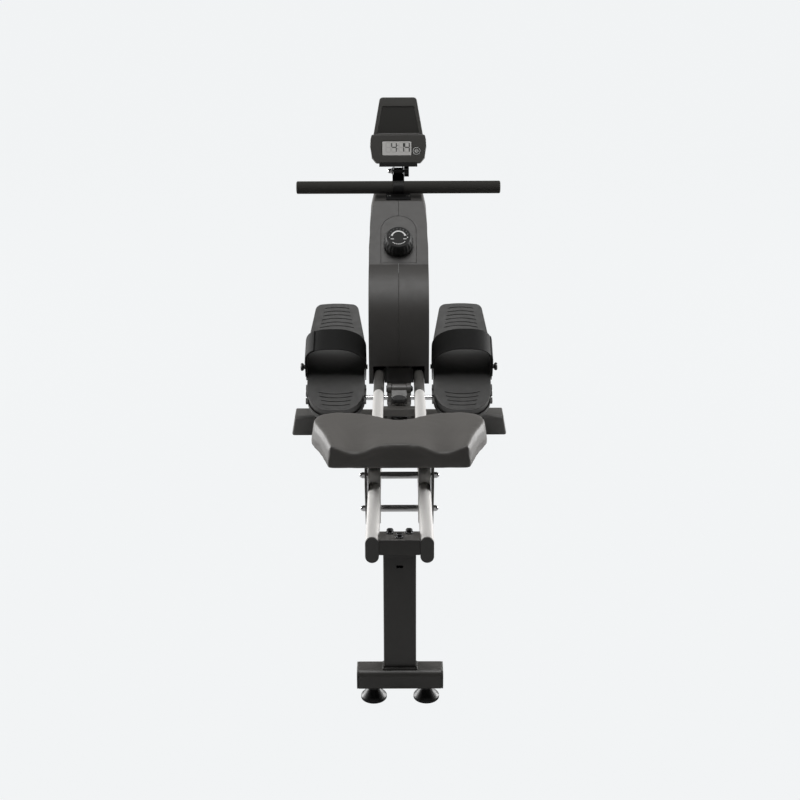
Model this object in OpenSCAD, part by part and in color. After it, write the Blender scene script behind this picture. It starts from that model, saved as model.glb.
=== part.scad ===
// Magnetic rowing machine, standing level on its rear pads and front stabiliser.
// X is to the right of a rower who faces the housing, Y points forward, Z is up, and the unit is the millimetre.
// Stations along Y are measured from the rear end of the rails, and the origin is moved at the end to the
// middle of the machine on the floor. Rail coordinates are x, u along the rails and w square to them.

/* [Rails] */
// Slope of the rails down towards the front, degrees
rail_slope = 5; // [4:0.5:6]
// Height of the rail top at the rear end
rail_top_z = 329; // [310:1:350]
// Distance between the two rail centres
rail_spacing = 100; // [90:1:110]
// Width of a flat-oval rail
rail_w = 25; // [22:0.5:28]
// Height of a flat-oval rail
rail_h = 50; // [44:1:56]
// Wall of a rail
rail_wall = 2; // [1.5:0.1:3]
// Length of the silver folding part of a rail
rail_len = 960; // [900:5:1000]
// Station along the rails where the dark fixed stubs end, inside the housing
stub_end_u = 1290; // [1240:5:1320]
// Gap between the folding rails and the fixed stubs
fold_gap = 3; // [2:0.5:5]

/* [Rear leg] */
// Width of the leg tube
leg_w = 60; // [50:1:66]
// Depth of the leg tube
leg_d = 25; // [22:1:26]
// Length of the foot tube
foot_len = 160; // [140:2:200]
// Depth of the foot tube
foot_d = 48; // [42:1:54]
// Height of the foot tube
foot_h = 40; // [34:1:46]
// Diameter of a rear pad
pad_d = 48; // [40:1:56]
// Height of a rear pad below the foot tube
pad_h = 28; // [24:1:34]
// Distance between the two rear pads
pad_spacing = 98; // [80:1:106]
// Height of the crossbar between the rails
crossbar_h = 30; // [24:1:34]
// Depth of the crossbar between the rails
crossbar_d = 43; // [38:1:50]

/* [Fold joint] */
// Station of the fold pin along the rails
fold_u = 985; // [980:1:995]
// Depth of the fold pin's centre below the rail top
fold_w = 6; // [4:0.5:8]
// Diameter of the fold pin
fold_pin_d = 10; // [8:0.5:12]
// Station of the lock knob along the rails
lock_u = 936; // [934:0.5:937]
// Diameter of the lock knob
lock_knob_d = 35; // [28:1:36]
// Diameter of the lock pin
lock_pin_d = 10; // [8:0.5:12]

/* [Seat] */
// Station of the seat's centre along the rails, as parked
seat_u = 342; // [330:1:360]
// Distance between the front and rear axles of the seat
axle_span = 100; // [90:1:110]
// Diameter of an axle
axle_d = 10; // [8:0.5:11]
// Height of the upper axles above the rail top
upper_axle_w = 15; // [14:0.5:17]
// Depth of the lower axle below the rail bottom
lower_axle_w = 24; // [22:0.5:26]
// Width of a roller
roller_w = 24; // [20:1:25]
// Width of the seat across its lobes
seat_w = 360; // [336:2:380]
// Depth of the seat from its rear edge to its front lobes
seat_d = 232; // [220:2:240]
// Height of the seat's rear edge
seat_h = 50; // [44:1:56]

/* [Footplates] */
// Distance from the middle to the centre of a footplate
pedal_x = 159; // [157:1:166]
// Length of a footplate
pedal_len = 305; // [290:1:312]
// Width of a footplate
pedal_w = 146; // [136:1:148]
// Incline of a footplate from level, degrees
pedal_pitch = 46; // [42:1:50]
// Thickness of a footplate
pedal_t = 8; // [6:0.5:10]
// Diameter of the footplate axle
pedal_axle_d = 12; // [10:0.5:14]
// Height of the heel cup
heel_h = 26; // [20:1:30]
// Width of the foot strap
foot_strap_w = 68; // [58:1:72]
// Height of the foot strap's arch above its anchors
foot_strap_h = 88; // [78:1:92]

/* [Front frame] */
// Width of the main beam
beam_w = 54; // [52:1:56]
// Height of the main beam
beam_h = 50; // [44:1:56]
// Width of the stabiliser with its end caps
stabiliser_len = 572; // [560:2:600]
// Depth of the stabiliser tube
stabiliser_d = 60; // [56:1:64]
// Height of the stabiliser tube
stabiliser_h = 48; // [44:1:50]
// Station of the stabiliser's centre
stabiliser_y = 1289; // [1284:1:1292]
// Diameter of a transport wheel
wheel_d = 54; // [50:1:56]

/* [Housing] */
// Width of the housing's lower body
housing_w = 152; // [151:1:154]
// Width of the housing's neck
neck_w = 148; // [144:1:149]
// Wall of the housing
housing_wall = 2.5; // [2:0.1:3]
// Station of the housing's rear face
housing_back_y = 1128; // [1126:1:1134]
// Station of the housing's front face
housing_front_y = 1550; // [1545:1:1580]
// Height of the housing's flat top
housing_top_z = 602; // [598:1:606]
// Diameter of the flywheel
flywheel_d = 240; // [220:2:244]
// Thickness of the flywheel
flywheel_t = 30; // [24:1:32]
// Diameter of the drive pulley
drive_pulley_d = 124; // [110:2:130]

/* [Controls] */
// Diameter of the tension knob at its widest
knob_d = 76; // [66:1:80]
// Height of the tension knob
knob_h = 36; // [30:1:40]
// Width of the display's widest part
display_w = 148; // [140:1:156]
// Lean of the display from upright, degrees
display_lean = 20; // [15:1:25]
// Length of the pull bar
bar_len = 534; // [510:2:546]
// Diameter of a foam grip
grip_d = 33; // [30:0.5:34]
// Width of the pull strap
pull_strap_w = 24; // [20:1:25]

/* [Hidden] */
$fn = 48;

frame_black = [0.13, 0.13, 0.12];
plastic_black = [0.09, 0.09, 0.09];
shell_grey = [0.22, 0.21, 0.2];
silver = [0.75, 0.73, 0.7];
chrome_white = [0.85, 0.85, 0.86];
run_gap = 0.05;
soft_gap = 0.3;
seat_gap = 0.3;
tube_wall = 3;

inner_x = rail_spacing / 2 - rail_w / 2;
outer_x = rail_spacing / 2 + rail_w / 2;
rail_r = rail_w / 2;

// Rear leg, square to the rails, and its level foot tube
cap_t = 4;
top_plate_t = 5;
crossbar_top_w = -5;
crossbar_low_w = crossbar_top_w - crossbar_h;
bolt_d = 8;
bolt_head_d = 17;
leg_u0 = 2;
pad_y = -13;
foot_mid_z = pad_h + foot_h / 2;
pad_stud_d = 10;
rear_reach = pad_y - pad_d / 2;
mid_y = (housing_front_y + rear_reach) / 2;

// Fold joint: the tongue rests on the bridge of the bracket
bracket_t = 9;
tongue_w = 37;
bracket_inner_x = tongue_w / 2 + 0.5;
tongue_t = 10;
tongue_top_w = -36;
tongue_low_w = tongue_top_w - tongue_t;
bridge_t = 6;
bridge_top_w = tongue_low_w - seat_gap;
beam_top_w = -80;
beam_u0 = 905;
beam_u1 = 1335;
front_bar_u = 1180;
front_bar_d = 40;
front_bar_h = 41;
lock_bush_h = 12;
stub_u0 = rail_len + fold_gap;

// Footplate axle, under the rails
pedal_axle_u = 1110;
pedal_axle_w = -65;
pedal_axle_y = pedal_axle_u * cos(rail_slope) + pedal_axle_w * sin(rail_slope);
pedal_axle_z = rail_top_z - pedal_axle_u * sin(rail_slope) + pedal_axle_w * cos(rail_slope);
pedal_face_n = 17;
pedal_heel_s = -52;
pedal_toe_s = pedal_heel_s + pedal_len;
pedal_boss_w = 16;
strap_anchor_s = 84;
strap_t = 2.5;
strap_lean = 22;
strap_anchor_n = 3;
strap_leg_h = 36;
strap_stud_d = 6;
strap_face_x = pedal_w / 2 + 0.4;
pedal_crown = 5;
groove_pitch = 10.4;
frame_rim = 3;
frame_low_n = -14;
rib_out_x = pedal_w / 2 - 9;
axle_collar_d = 2 * (pedal_face_n - pedal_t - 0.5);
axle_collar_t = 4;

// Seat carriage
seat_u0 = seat_u - axle_span / 2;
seat_u1 = seat_u + axle_span / 2;
low_axle_w = -rail_h - lower_axle_w;
roller_gap = 0.4;
upper_roller_r = 24;
lower_roller_r = 31;
seat_back = 220;
seat_ahead = 468;
stop_len = 14;
plate_x0 = outer_x + 3;
plate_t = 3;
seat_base_w = 42;
seat_base_t = 4;
pad_w0 = seat_base_w + seat_base_t + seat_gap;

// Stabiliser and main beam
cap_len = 62;
cap_floor = 3;
cap_bevel = 9;
wheel_w = 22;
wheel_y = stabiliser_y + stabiliser_d / 2 + wheel_d / 2 + 6;
wheel_z = wheel_d / 2 + 4;
wheel_x = 150;

// Housing outline, in stations and heights, counter-clockwise from its lower rear corner
face_slope = 40.6;
housing_low_z = 193;
plateau_y = 1399;
crease_y = 1248;
crease_z = housing_top_z - (plateau_y - crease_y) * tan(face_slope);
bulge_slope = 12;
bulge_top_z = crease_z - (crease_y - housing_back_y) * tan(bulge_slope);
housing_points = [
    [housing_back_y, housing_low_z], [housing_front_y - 110, housing_low_z - 58],
    [housing_front_y - 30, 200], [housing_front_y, 330], [housing_front_y - 5, 440],
    [housing_front_y - 35, housing_top_z], [plateau_y, housing_top_z], [crease_y, crease_z],
    [housing_back_y, bulge_top_z]];
housing_radii = [8, 40, 70, 30, 160, 20, 10, 10, 148];
step_z = 507;
shoulder_in = 10;
shoulder_drop = 46;
flywheel_c = [1320, 305];
drive_c = [1408, 478];
plate_in_x = beam_w / 2;
frame_plate_t = 4;
shaft_d = 12;
flywheel_x = -8;
small_pulley_r = 18;
belt_x = 20;
belt_w = 7;
belt_t = 3;
reel_r = 34;
magnet_gap = 10;
magnet_pivot = [1189, 250];

// Knob on the sloping face
knob_c = [1294, housing_top_z - (plateau_y - 1294) * tan(face_slope)];
panel_w = 91;
panel_low_t = -55;
panel_top_t = 90;
panel_gap = 0.4;
knob_stem_d = 12;

// Head bracket, pull bar and display
head_t = 4;
head_y0 = 1401;
head_y1 = 1495;
head_top_z = housing_top_z + head_t;
head_w = 65;
bar_y = 1436;
post_y0 = bar_y + grip_d / 2 + 0.8;
post_y1 = 1484;
post_inner_x = 13.5;
slot_y0 = 1462;
slot_y1 = 1480;
post_t = 2;
roller_c = [1469, housing_top_z + 15];
guide_r = 8;
bar_z = roller_c[1] + guide_r + soft_gap + 1.5 + 1.4;
pivot = [1469, 664];
lcd_w = 76;
lcd_h = 36;

function ry(u, w) = u * cos(rail_slope) + w * sin(rail_slope);
function rz(u, w) = rail_top_z - u * sin(rail_slope) + w * cos(rail_slope);
function unit(v) = v / norm(v);
function corner(p, a, b, r, n) = r <= 0 ? [p] :
    let(ua = unit(a - p), ub = unit(b - p), half = acos(ua * ub) / 2,
        centre = p + unit(ua + ub) * r / sin(half),
        from = unit(p + ua * r / tan(half) - centre),
        to = unit(p + ub * r / tan(half) - centre))
    [for (k = [0:n]) centre + unit(from * (n - k) + to * k) * r];
function rounded(points, radii, n = 6) = let(count = len(points))
    [for (i = [0:count - 1])
        each corner(points[i], points[(i + count - 1) % count], points[(i + 1) % count], radii[i], n)];
function edge_normal(a, b) = let(d = unit(b - a)) [-d[1], d[0]];
function inset(points, gap) = let(count = len(points))
    [for (i = [0:count - 1])
        let(n0 = edge_normal(points[(i + count - 1) % count], points[i]),
            n1 = edge_normal(points[i], points[(i + 1) % count]))
        points[i] + (n0 + n1) * gap / (1 + n0 * n1)];

// Places things given by station and height
module stand() translate([0, -mid_y, 0]) children();

// Places things given in rail coordinates
module on_rails() stand() translate([0, 0, rail_top_z]) rotate([-rail_slope, 0, 0]) children();

// Turns a side outline into a solid that is centred across the machine
module across(width, x = 0) translate([x - width / 2, 0, 0]) rotate([90, 0, 90])
    linear_extrude(width) children();

// Turns a section into a bar that runs forward from y0 to y1
module forward(y0, y1) translate([0, y1, 0]) rotate([90, 0, 0]) linear_extrude(y1 - y0) children();

module rod_x(d, x0, x1) translate([x0, 0, 0]) rotate([0, 90, 0]) cylinder(d = d, h = x1 - x0);

module round_rect(w, h, r) union() {
    square([w - 2 * r, h], center = true);
    square([w, h - 2 * r], center = true);
    for (sx = [-1, 1], sy = [-1, 1]) translate([sx * (w / 2 - r), sy * (h / 2 - r)]) circle(r);
}

module oval(grow = 0) union() {
    for (s = [-1, 1]) translate([0, s * (rail_h - rail_w) / 2]) circle(rail_r + grow);
    square([rail_w + 2 * grow, rail_h - rail_w], center = true);
}

module rail_tubes(u0, u1) on_rails() for (s = [-1, 1])
    translate([s * rail_spacing / 2, 0, -rail_h / 2]) forward(u0, u1)
        difference() { oval(); oval(-rail_wall); }

module main_frame() color(frame_black) {
    on_rails() translate([0, 0, beam_top_w - beam_h / 2]) difference() {
        forward(beam_u0, beam_u1) round_rect(beam_w, beam_h, 6);
        forward(beam_u0 + tube_wall, beam_u1 + 1)
            round_rect(beam_w - 2 * tube_wall, beam_h - 2 * tube_wall, 3);
    }
    front_leg_w = 60;
    front_leg_d = 34;
    leg_low_z = stabiliser_h + cap_floor;
    leg_high_z = rz(stabiliser_y, beam_top_w - beam_h) + 2;
    stand() translate([0, stabiliser_y, leg_low_z]) linear_extrude(leg_high_z - leg_low_z)
        round_rect(front_leg_w, front_leg_d, 4);
}

module front_bar_block() on_rails() translate([0, 0, crossbar_top_w - front_bar_h / 2])
    forward(front_bar_u, front_bar_u + front_bar_d) square([2 * inner_x, front_bar_h], center = true);

module front_crossbar() color(frame_black) {
    web_h = crossbar_top_w - front_bar_h - beam_top_w;
    front_bar_block();
    on_rails() translate([0, 0, beam_top_w + web_h / 2])
        forward(front_bar_u + 4, front_bar_u + front_bar_d - 4) square([40, web_h], center = true);
}

module rail_stubs() color(frame_black) rail_tubes(stub_u0, stub_end_u);

module fold_bracket() color(frame_black) on_rails() {
    x0 = bracket_inner_x;
    difference() {
        for (s = [-1, 1]) across(bracket_t, s * (x0 + bracket_t / 2)) union() {
            polygon([[beam_u0, beam_top_w], [pedal_axle_u + 30, beam_top_w],
                [pedal_axle_u + 30, -44], [pedal_axle_u + 10, -30], [fold_u + 12, -fold_w - 8],
                [fold_u - 12, -fold_w - 8], [fold_u - 22, -34], [922, -40], [918, bridge_top_w - 0.5],
                [beam_u0, bridge_top_w - 0.5]]);
            translate([fold_u, -fold_w]) circle(13);
        }
        translate([0, fold_u, -fold_w]) rod_x(fold_pin_d + 2 * run_gap, -60, 60);
        translate([0, pedal_axle_u, pedal_axle_w]) rod_x(pedal_axle_d + 2 * run_gap, -60, 60);
    }
    difference() {
        translate([-x0, beam_u0, bridge_top_w - bridge_t]) cube([2 * x0, 48, bridge_t]);
        translate([0, lock_u, bridge_top_w - 10]) cylinder(d = lock_pin_d + 2 * run_gap, h = 20);
    }
}

module fold_pin() color(chrome_white) on_rails() translate([0, fold_u, -fold_w]) {
    reach = bracket_inner_x + bracket_t;
    rod_x(fold_pin_d, -reach - 0.2, reach + 6);
    rod_x(fold_pin_d + 6, -reach - 3.2, -reach - 0.2);
    translate([reach + 0.2, 0, 0]) rotate([0, 90, 0]) cylinder(d = fold_pin_d + 6, h = 4, $fn = 6);
}

module stabiliser_section(grow = 0) round_rect(stabiliser_d + 2 * grow, stabiliser_h + 2 * grow, 9 + grow);

module front_stabiliser() color(frame_black) stand() {
    tube_len = stabiliser_len - 26;
    mid_z = cap_floor + stabiliser_h / 2;
    translate([0, stabiliser_y, mid_z]) across(tube_len) difference() {
        stabiliser_section();
        stabiliser_section(-tube_wall);
    }
    // Wheel ears on the front face, each pair with its axle
    ear_t = 4;
    for (sx = [-1, 1]) translate([sx * wheel_x, 0, 0]) {
        for (s = [-1, 1]) translate([s * (wheel_w / 2 + ear_t / 2 + 1), 0, 0]) across(ear_t) union() {
            y0 = stabiliser_y + stabiliser_d / 2;
            polygon([[y0, mid_z - 12], [wheel_y, wheel_z - 9], [wheel_y, wheel_z + 9], [y0, mid_z + 14]]);
            translate([wheel_y, wheel_z]) circle(9);
        }
        translate([0, wheel_y, wheel_z]) rod_x(8, -wheel_w / 2 - 3, wheel_w / 2 + 3);
    }
}

module stabiliser_caps() color(plastic_black) stand() for (s = [-1, 1]) {
    x_out = stabiliser_len / 2;
    x_in = x_out - cap_len;
    mid_z = cap_floor + stabiliser_h / 2;
    half_d = stabiliser_d / 2 + cap_floor;
    top_z = stabiliser_h + 2 * cap_floor;
    translate([0, stabiliser_y, 0]) difference() {
        intersection() {
            across(cap_len, s * (x_in + x_out) / 2) polygon([[-half_d - 2, 0], [half_d + 2, 0],
                [half_d, top_z - cap_bevel], [half_d - cap_bevel, top_z], [cap_bevel - half_d, top_z],
                [-half_d, top_z - cap_bevel]]);
            forward(-stabiliser_d, stabiliser_d) polygon([[s * (x_in - 1), -1], [s * x_out, -1],
                [s * (x_out - 9), top_z - 3], [s * (x_out - 13), top_z + 1], [s * (x_in - 1), top_z + 1]]);
        }
        translate([0, 0, mid_z]) across(cap_len, s * ((x_in + x_out) / 2 - 12)) stabiliser_section(0.1);
    }
}

module transport_wheel(side) color(plastic_black) stand() translate([side * wheel_x, wheel_y, wheel_z])
    rotate([0, 90, 0]) difference() {
        rotate_extrude() polygon([[0, -wheel_w / 2], [wheel_d / 2 - 2, -wheel_w / 2],
            [wheel_d / 2, -wheel_w / 2 + 3], [wheel_d / 2, wheel_w / 2 - 3],
            [wheel_d / 2 - 2, wheel_w / 2], [0, wheel_w / 2]]);
        translate([0, 0, -wheel_w]) cylinder(d = 8 + 2 * run_gap, h = 2 * wheel_w);
        for (s = [-1, 1]) translate([0, 0, s * (wheel_w / 2 - 1)]) difference() {
            cylinder(d = wheel_d - 12, h = 4, center = true);
            cylinder(d = 20, h = 5, center = true);
        }
    }

module frame_plates() color(frame_black) stand() {
    outline = [[1172, 118], [1335, 104], [1440, 155], [1498, 330], [1498, housing_top_z - 5],
        [plateau_y + 12, housing_top_z - 5], [1330, 500], [1172, 335]];
    difference() {
        for (s = [-1, 1]) across(frame_plate_t, s * (plate_in_x + frame_plate_t / 2)) difference() {
            polygon(rounded(outline, [6, 10, 30, 20, 4, 4, 40, 30]));
            translate([1392, 260]) circle(38);
        }
        translate([0, mid_y, 0]) front_bar_block();
        for (c = [flywheel_c, drive_c]) translate([0, c[0], c[1]]) rod_x(shaft_d + 2 * run_gap, -50, 50);
        translate([0, magnet_pivot[0], magnet_pivot[1]]) rod_x(8 + 2 * run_gap, -50, 50);
    }
    // Bridge that the head bracket is screwed to
    difference() {
        translate([-plate_in_x, plateau_y + 12, housing_top_z - 13]) cube([2 * plate_in_x, 84, 8]);
        translate([-14, slot_y0, housing_top_z - 20]) cube([28, slot_y1 - slot_y0, 30]);
        for (s = [-1, 1]) translate([s * 24.5, 1432, housing_top_z - 20]) cylinder(d = 5.1, h = 30, $fn = 24);
    }
}

module shafts() color(chrome_white) stand() {
    reach = plate_in_x + frame_plate_t;
    for (c = [flywheel_c, drive_c]) translate([0, c[0], c[1]]) {
        rod_x(shaft_d, -reach - 8, reach + 8);
        for (s = [-1, 1]) translate([s * (reach + 3.2), 0, 0]) rotate([0, 90, 0])
            cylinder(d = 20, h = 6, center = true, $fn = 6);
    }
    translate([0, magnet_pivot[0], magnet_pivot[1]]) {
        rod_x(8, -reach - 5, reach + 5);
        for (s = [-1, 1]) translate([s * (reach + 2.7), 0, 0]) rotate([0, 90, 0])
            cylinder(d = 13, h = 5, center = true, $fn = 6);
    }
}

module flywheel() color([0.35, 0.35, 0.36]) stand() translate([0, flywheel_c[0], flywheel_c[1]])
    rotate([0, 90, 0]) difference() {
        x0 = flywheel_x - flywheel_t / 2;
        x1 = flywheel_x + flywheel_t / 2;
        rotate_extrude($fn = 96) polygon([[shaft_d / 2 + run_gap, x0], [22, x0], [22, x0 + 9],
            [flywheel_d / 2 - 30, x0 + 9], [flywheel_d / 2 - 26, x0], [flywheel_d / 2, x0],
            [flywheel_d / 2, x1], [flywheel_d / 2 - 26, x1], [flywheel_d / 2 - 30, x1 - 9],
            [24, x1 - 9], [24, belt_x - belt_w / 2 - 2], [small_pulley_r + 4, belt_x - belt_w / 2 - 0.5],
            [small_pulley_r, belt_x - belt_w / 2 - 0.5], [small_pulley_r, belt_x + belt_w / 2 + 0.5],
            [small_pulley_r + 4, belt_x + belt_w / 2 + 0.5], [small_pulley_r + 4, belt_x + belt_w / 2 + 2],
            [shaft_d / 2 + run_gap, belt_x + belt_w / 2 + 2]]);
        for (k = [0:5]) rotate([0, 0, 60 * k]) translate([62, 0, flywheel_x])
            cylinder(d = 26, h = flywheel_t, center = true);
    }

module drive_pulley() color(plastic_black) stand() translate([0, drive_c[0], drive_c[1]])
    rotate([0, 90, 0]) translate([0, 0, belt_x]) difference() {
        half = belt_w / 2 + 0.5;
        rotate_extrude($fn = 96) polygon([[shaft_d / 2 + run_gap, -half], [drive_pulley_d / 2, -half],
            [drive_pulley_d / 2, half], [drive_pulley_d / 2 - 7, half], [drive_pulley_d / 2 - 10, -half + 3],
            [20, -half + 3], [20, half], [shaft_d / 2 + run_gap, half]]);
        for (k = [0:5]) rotate([0, 0, 60 * k]) translate([36, 0, 0]) cylinder(d = 20, h = 20, center = true);
    }

// Outline of the belt loop round both pulleys, at the given growth past their grooves
function arc(c, r, a0, a1, n) = [for (k = [0:n]) c + r * [cos(a0 + (a1 - a0) * k / n), sin(a0 + (a1 - a0) * k / n)]];
function belt_loop(grow) = let(r0 = small_pulley_r + grow, r1 = drive_pulley_d / 2 + grow,
    way = drive_c - flywheel_c, bearing = atan2(way[1], way[0]), tilt = acos((r0 - r1) / norm(way)))
    concat(arc(drive_c, r1, bearing - tilt, bearing + tilt, 32),
        arc(flywheel_c, r0, bearing + tilt, bearing + 360 - tilt, 16));

module drive_belt() color([0.06, 0.06, 0.06]) stand() across(belt_w, belt_x) difference() {
    polygon(belt_loop(belt_t + soft_gap + 0.3));
    polygon(belt_loop(soft_gap + 0.3));
}

module strap_reel() color(plastic_black) stand() translate([0, drive_c[0], drive_c[1]])
    rotate([0, 90, 0]) rotate_extrude() polygon([[shaft_d / 2 + run_gap, -15], [reel_r + 7, -15],
        [reel_r + 7, -13], [reel_r, -13], [reel_r, 13], [reel_r + 7, 13], [reel_r + 7, 15],
        [shaft_d / 2 + run_gap, 15]]);

module recoil_spring_drum() color([0.3, 0.3, 0.3]) stand() translate([0, drive_c[0], drive_c[1]])
    rotate([0, 90, 0]) translate([0, 0, -plate_in_x + 0.3]) difference() {
        cylinder(r = reel_r + 5, h = 11);
        translate([0, 0, -1]) cylinder(d = shaft_d + 2 * run_gap, h = 20);
    }

// Curved arm that carries the magnets along the flywheel's rim
module magnet_arm() color([0.4, 0.4, 0.42]) stand() difference() {
    r_in = flywheel_d / 2 + magnet_gap;
    union() {
        across(26, flywheel_x) difference() {
            intersection() {
                translate(flywheel_c) circle(r_in + 9, $fn = 96);
                polygon([flywheel_c, flywheel_c + 300 * [cos(205), sin(205)],
                    flywheel_c + 300 * [cos(160), sin(160)], flywheel_c + 300 * [cos(112), sin(112)]]);
            }
            translate(flywheel_c) circle(r_in, $fn = 96);
        }
        across(2 * plate_in_x - 1) translate(magnet_pivot) circle(9);
    }
    translate([0, magnet_pivot[0], magnet_pivot[1]]) rod_x(8 + 2 * run_gap, -50, 50);
}

module head_bracket() color(plastic_black) stand() {
    difference() {
        translate([-head_w / 2, head_y0, housing_top_z]) cube([head_w, head_y1 - head_y0, head_t]);
        for (s = [-1, 1]) translate([s * 24.5, 1432, housing_top_z - 5]) cylinder(d = 5.2, h = 20, $fn = 24);
        translate([-13, slot_y0, housing_top_z - 5]) cube([26, slot_y1 - slot_y0, 20]);
    }
    ear_r = 10;
    difference() {
        union() {
            for (s = [-1, 1]) across(post_t, s * (post_inner_x + post_t / 2)) union() {
                polygon([[post_y0, head_top_z], [post_y1, head_top_z], [post_y1, 640],
                    [pivot[0] + ear_r, pivot[1]], [pivot[0] - ear_r, pivot[1]], [post_y0, 640]]);
                translate(pivot) circle(ear_r);
            }
            translate([-post_inner_x, post_y1 - post_t, head_top_z])
                cube([2 * post_inner_x, post_t, 652 - head_top_z]);
        }
        translate([0, pivot[0], pivot[1]]) rod_x(8 + 2 * run_gap, -50, 50);
    }
    translate([0, roller_c[0], roller_c[1]]) rod_x(6, -post_inner_x, post_inner_x);
}

module head_screws() color(chrome_white) stand() for (s = [-1, 1])
    translate([s * 24.5, 1432, head_top_z]) {
        cylinder(d = 9, h = 2);
        translate([0, 0, -16]) cylinder(d = 5, h = 16, $fn = 24);
    }

module guide_roller() color(plastic_black) stand() translate([0, roller_c[0], roller_c[1]])
    rotate([0, 90, 0]) difference() {
        cylinder(r = guide_r, h = 2 * post_inner_x - 1, center = true);
        cylinder(d = 6 + 2 * run_gap, h = 60, center = true);
    }

// Webbing from the reel, up round the guide roller and out to the bar's collar
module pull_strap() color([0.07, 0.07, 0.07]) stand() {
    t = 1.5;
    lead = roller_c + [guide_r + soft_gap + t / 2, 0];
    top_z = roller_c[1] + guide_r + soft_gap;
    wound = drive_c + [reel_r + soft_gap + t / 2, 0];
    across(pull_strap_w) union() {
        polygon([wound - [t / 2, 0], wound + [t / 2, 0], lead + [t / 2, 0], lead - [t / 2, 0]]);
        intersection() {
            translate(roller_c) difference() { circle(guide_r + soft_gap + t); circle(guide_r + soft_gap); }
            translate(roller_c) square(30);
        }
        translate([bar_y + grip_d / 2 + 0.6, top_z]) square([roller_c[0] - bar_y - grip_d / 2 - 0.6, t]);
    }
}

// One half of the housing: outer and inner outlines run across, and the front view rounds the shoulders
module housing_body(half_w, gap, low, high) intersection() {
    across(2 * half_w) polygon(rounded(inset(housing_points, gap),
        [for (r = housing_radii) max(1, r - gap)]));
    forward(housing_back_y - 50, housing_front_y + 50) polygon(rounded([[-half_w, low], [half_w, low],
        [half_w, high - shoulder_drop], [half_w - shoulder_in, high], [shoulder_in - half_w, high],
        [-half_w, high - shoulder_drop]], [1, 1, 90, 9, 9, 90]));
}

module housing_shell() difference() {
    union() {
        housing_body(neck_w / 2, 0, 60, housing_top_z);
        intersection() {
            housing_body(housing_w / 2, 0, 60, housing_top_z);
            translate([-100, housing_back_y - 10, 60]) cube([200, 600, step_z - 60]);
        }
    }
    housing_body(neck_w / 2 - housing_wall, housing_wall, 60, housing_top_z - housing_wall);
    // Way in for the rails, and the slot in the floor for the beam and the frame plates
    translate([-outer_x - 2, housing_back_y - 20, 100]) cube([2 * outer_x + 4, 190, 141]);
    translate([-plate_in_x - 7, housing_back_y - 20, 60]) cube([2 * plate_in_x + 14, 340, 120]);
    translate([-14, slot_y0, housing_top_z - 10]) cube([28, slot_y1 - slot_y0, 20]);
    for (s = [-1, 1]) translate([s * 24.5, 1432, housing_top_z - 10]) cylinder(d = 5.4, h = 20, $fn = 24);
    on_face() translate([0, 0, -housing_wall - 5]) linear_extrude(30) arch(0);
}

module on_face() translate([0, knob_c[0], knob_c[1]]) rotate([face_slope, 0, 0]) children();

module arch(gap) union() {
    half = panel_w / 2 - gap;
    translate([-half, panel_low_t + gap]) square([2 * half, panel_top_t - panel_w / 2 - panel_low_t - gap]);
    translate([0, panel_top_t - panel_w / 2]) circle(half);
}

module housing_half(side) color(shell_grey) stand() intersection() {
    housing_shell();
    translate([side > 0 ? 0.1 : -100.1, 0, 0]) cube([100, 2000, 1000]);
}

module knob_panel() color(shell_grey) stand() on_face() difference() {
    translate([0, 0, -housing_wall]) linear_extrude(housing_wall) arch(panel_gap);
    translate([0, 0, -10]) cylinder(d = knob_stem_d + 2 * run_gap, h = 20);
}

module tension_knob() color(plastic_black) stand() on_face() {
    translate([0, 0, soft_gap]) rotate_extrude($fn = 72) polygon([[0, 0], [knob_d / 2 - 3, 0],
        [knob_d / 2, 6], [knob_d / 2 - 1, 16], [knob_d / 2 - 7, knob_h - 5], [knob_d / 2 - 10, knob_h - 1],
        [knob_d / 2 - 11, knob_h], [0, knob_h]]);
    translate([0, 0, -14]) cylinder(d = knob_stem_d, h = 15);
}

module at_pivot() stand() translate([0, pivot[0], pivot[1]]) rotate([-display_lean, 0, 0]) children();

module display_bracket() color(plastic_black) at_pivot() difference() {
    union() {
        for (s = [-1, 1]) across(2.5, s * 11.6) union() {
            circle(9);
            translate([-9, 0]) square([18, 15]);
        }
        rod_x(18, -12, 12);
        translate([-50, -16, 15]) cube([100, 32, 4]);
        translate([-50, -19, 9]) cube([100, 3, 10]);
    }
    rod_x(8 + 2 * run_gap, -50, 50);
}

// Display outline seen from the front: the body flares upwards, and the phone rest tapers above it
body_top_u = 93;
rest_top_u = 192;
module display_body_outline(gap = 0) {
    half = display_w / 2 - gap;
    polygon(rounded([[-50 + gap, 19.3 + gap], [50 - gap, 19.3 + gap], [half - 8, 36], [half, 60],
        [half - 1, 80], [half - 4, body_top_u - gap], [-half + 4, body_top_u - gap], [-half + 1, 80],
        [-half, 60], [-half + 8, 36]], [6, 6, 12, 14, 20, 5, 5, 20, 14, 12], 4));
}
module rest_outline(gap = 0) polygon(rounded([[-65 + gap, 60], [65 - gap, 60],
    [48 - gap, rest_top_u - gap], [-48 + gap, rest_top_u - gap]], [2, 2, 9, 9]));

module display_back() color([0.3, 0.3, 0.3]) at_pivot() forward(2, 16) display_body_outline(3);

module display_front() color(plastic_black) at_pivot() difference() {
    union() {
        forward(-18, 1.8) display_body_outline();
        forward(-8, 1.8) rest_outline();
    }
    forward(-9, -5) intersection() {
        rest_outline(9);
        translate([-100, 98]) square([200, rest_top_u - 24 - 98]);
    }
    forward(-18.1, -16.4) translate([-3.5, 57]) round_rect(lcd_w + 0.6, lcd_h + 0.6, 3);
    translate([48, 0, 50]) rotate([90, 0, 0]) cylinder(d = 20, h = 19);
    translate([-52, -14.5, body_top_u - 6]) cube([104, 6.5, 10]);
}

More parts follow.
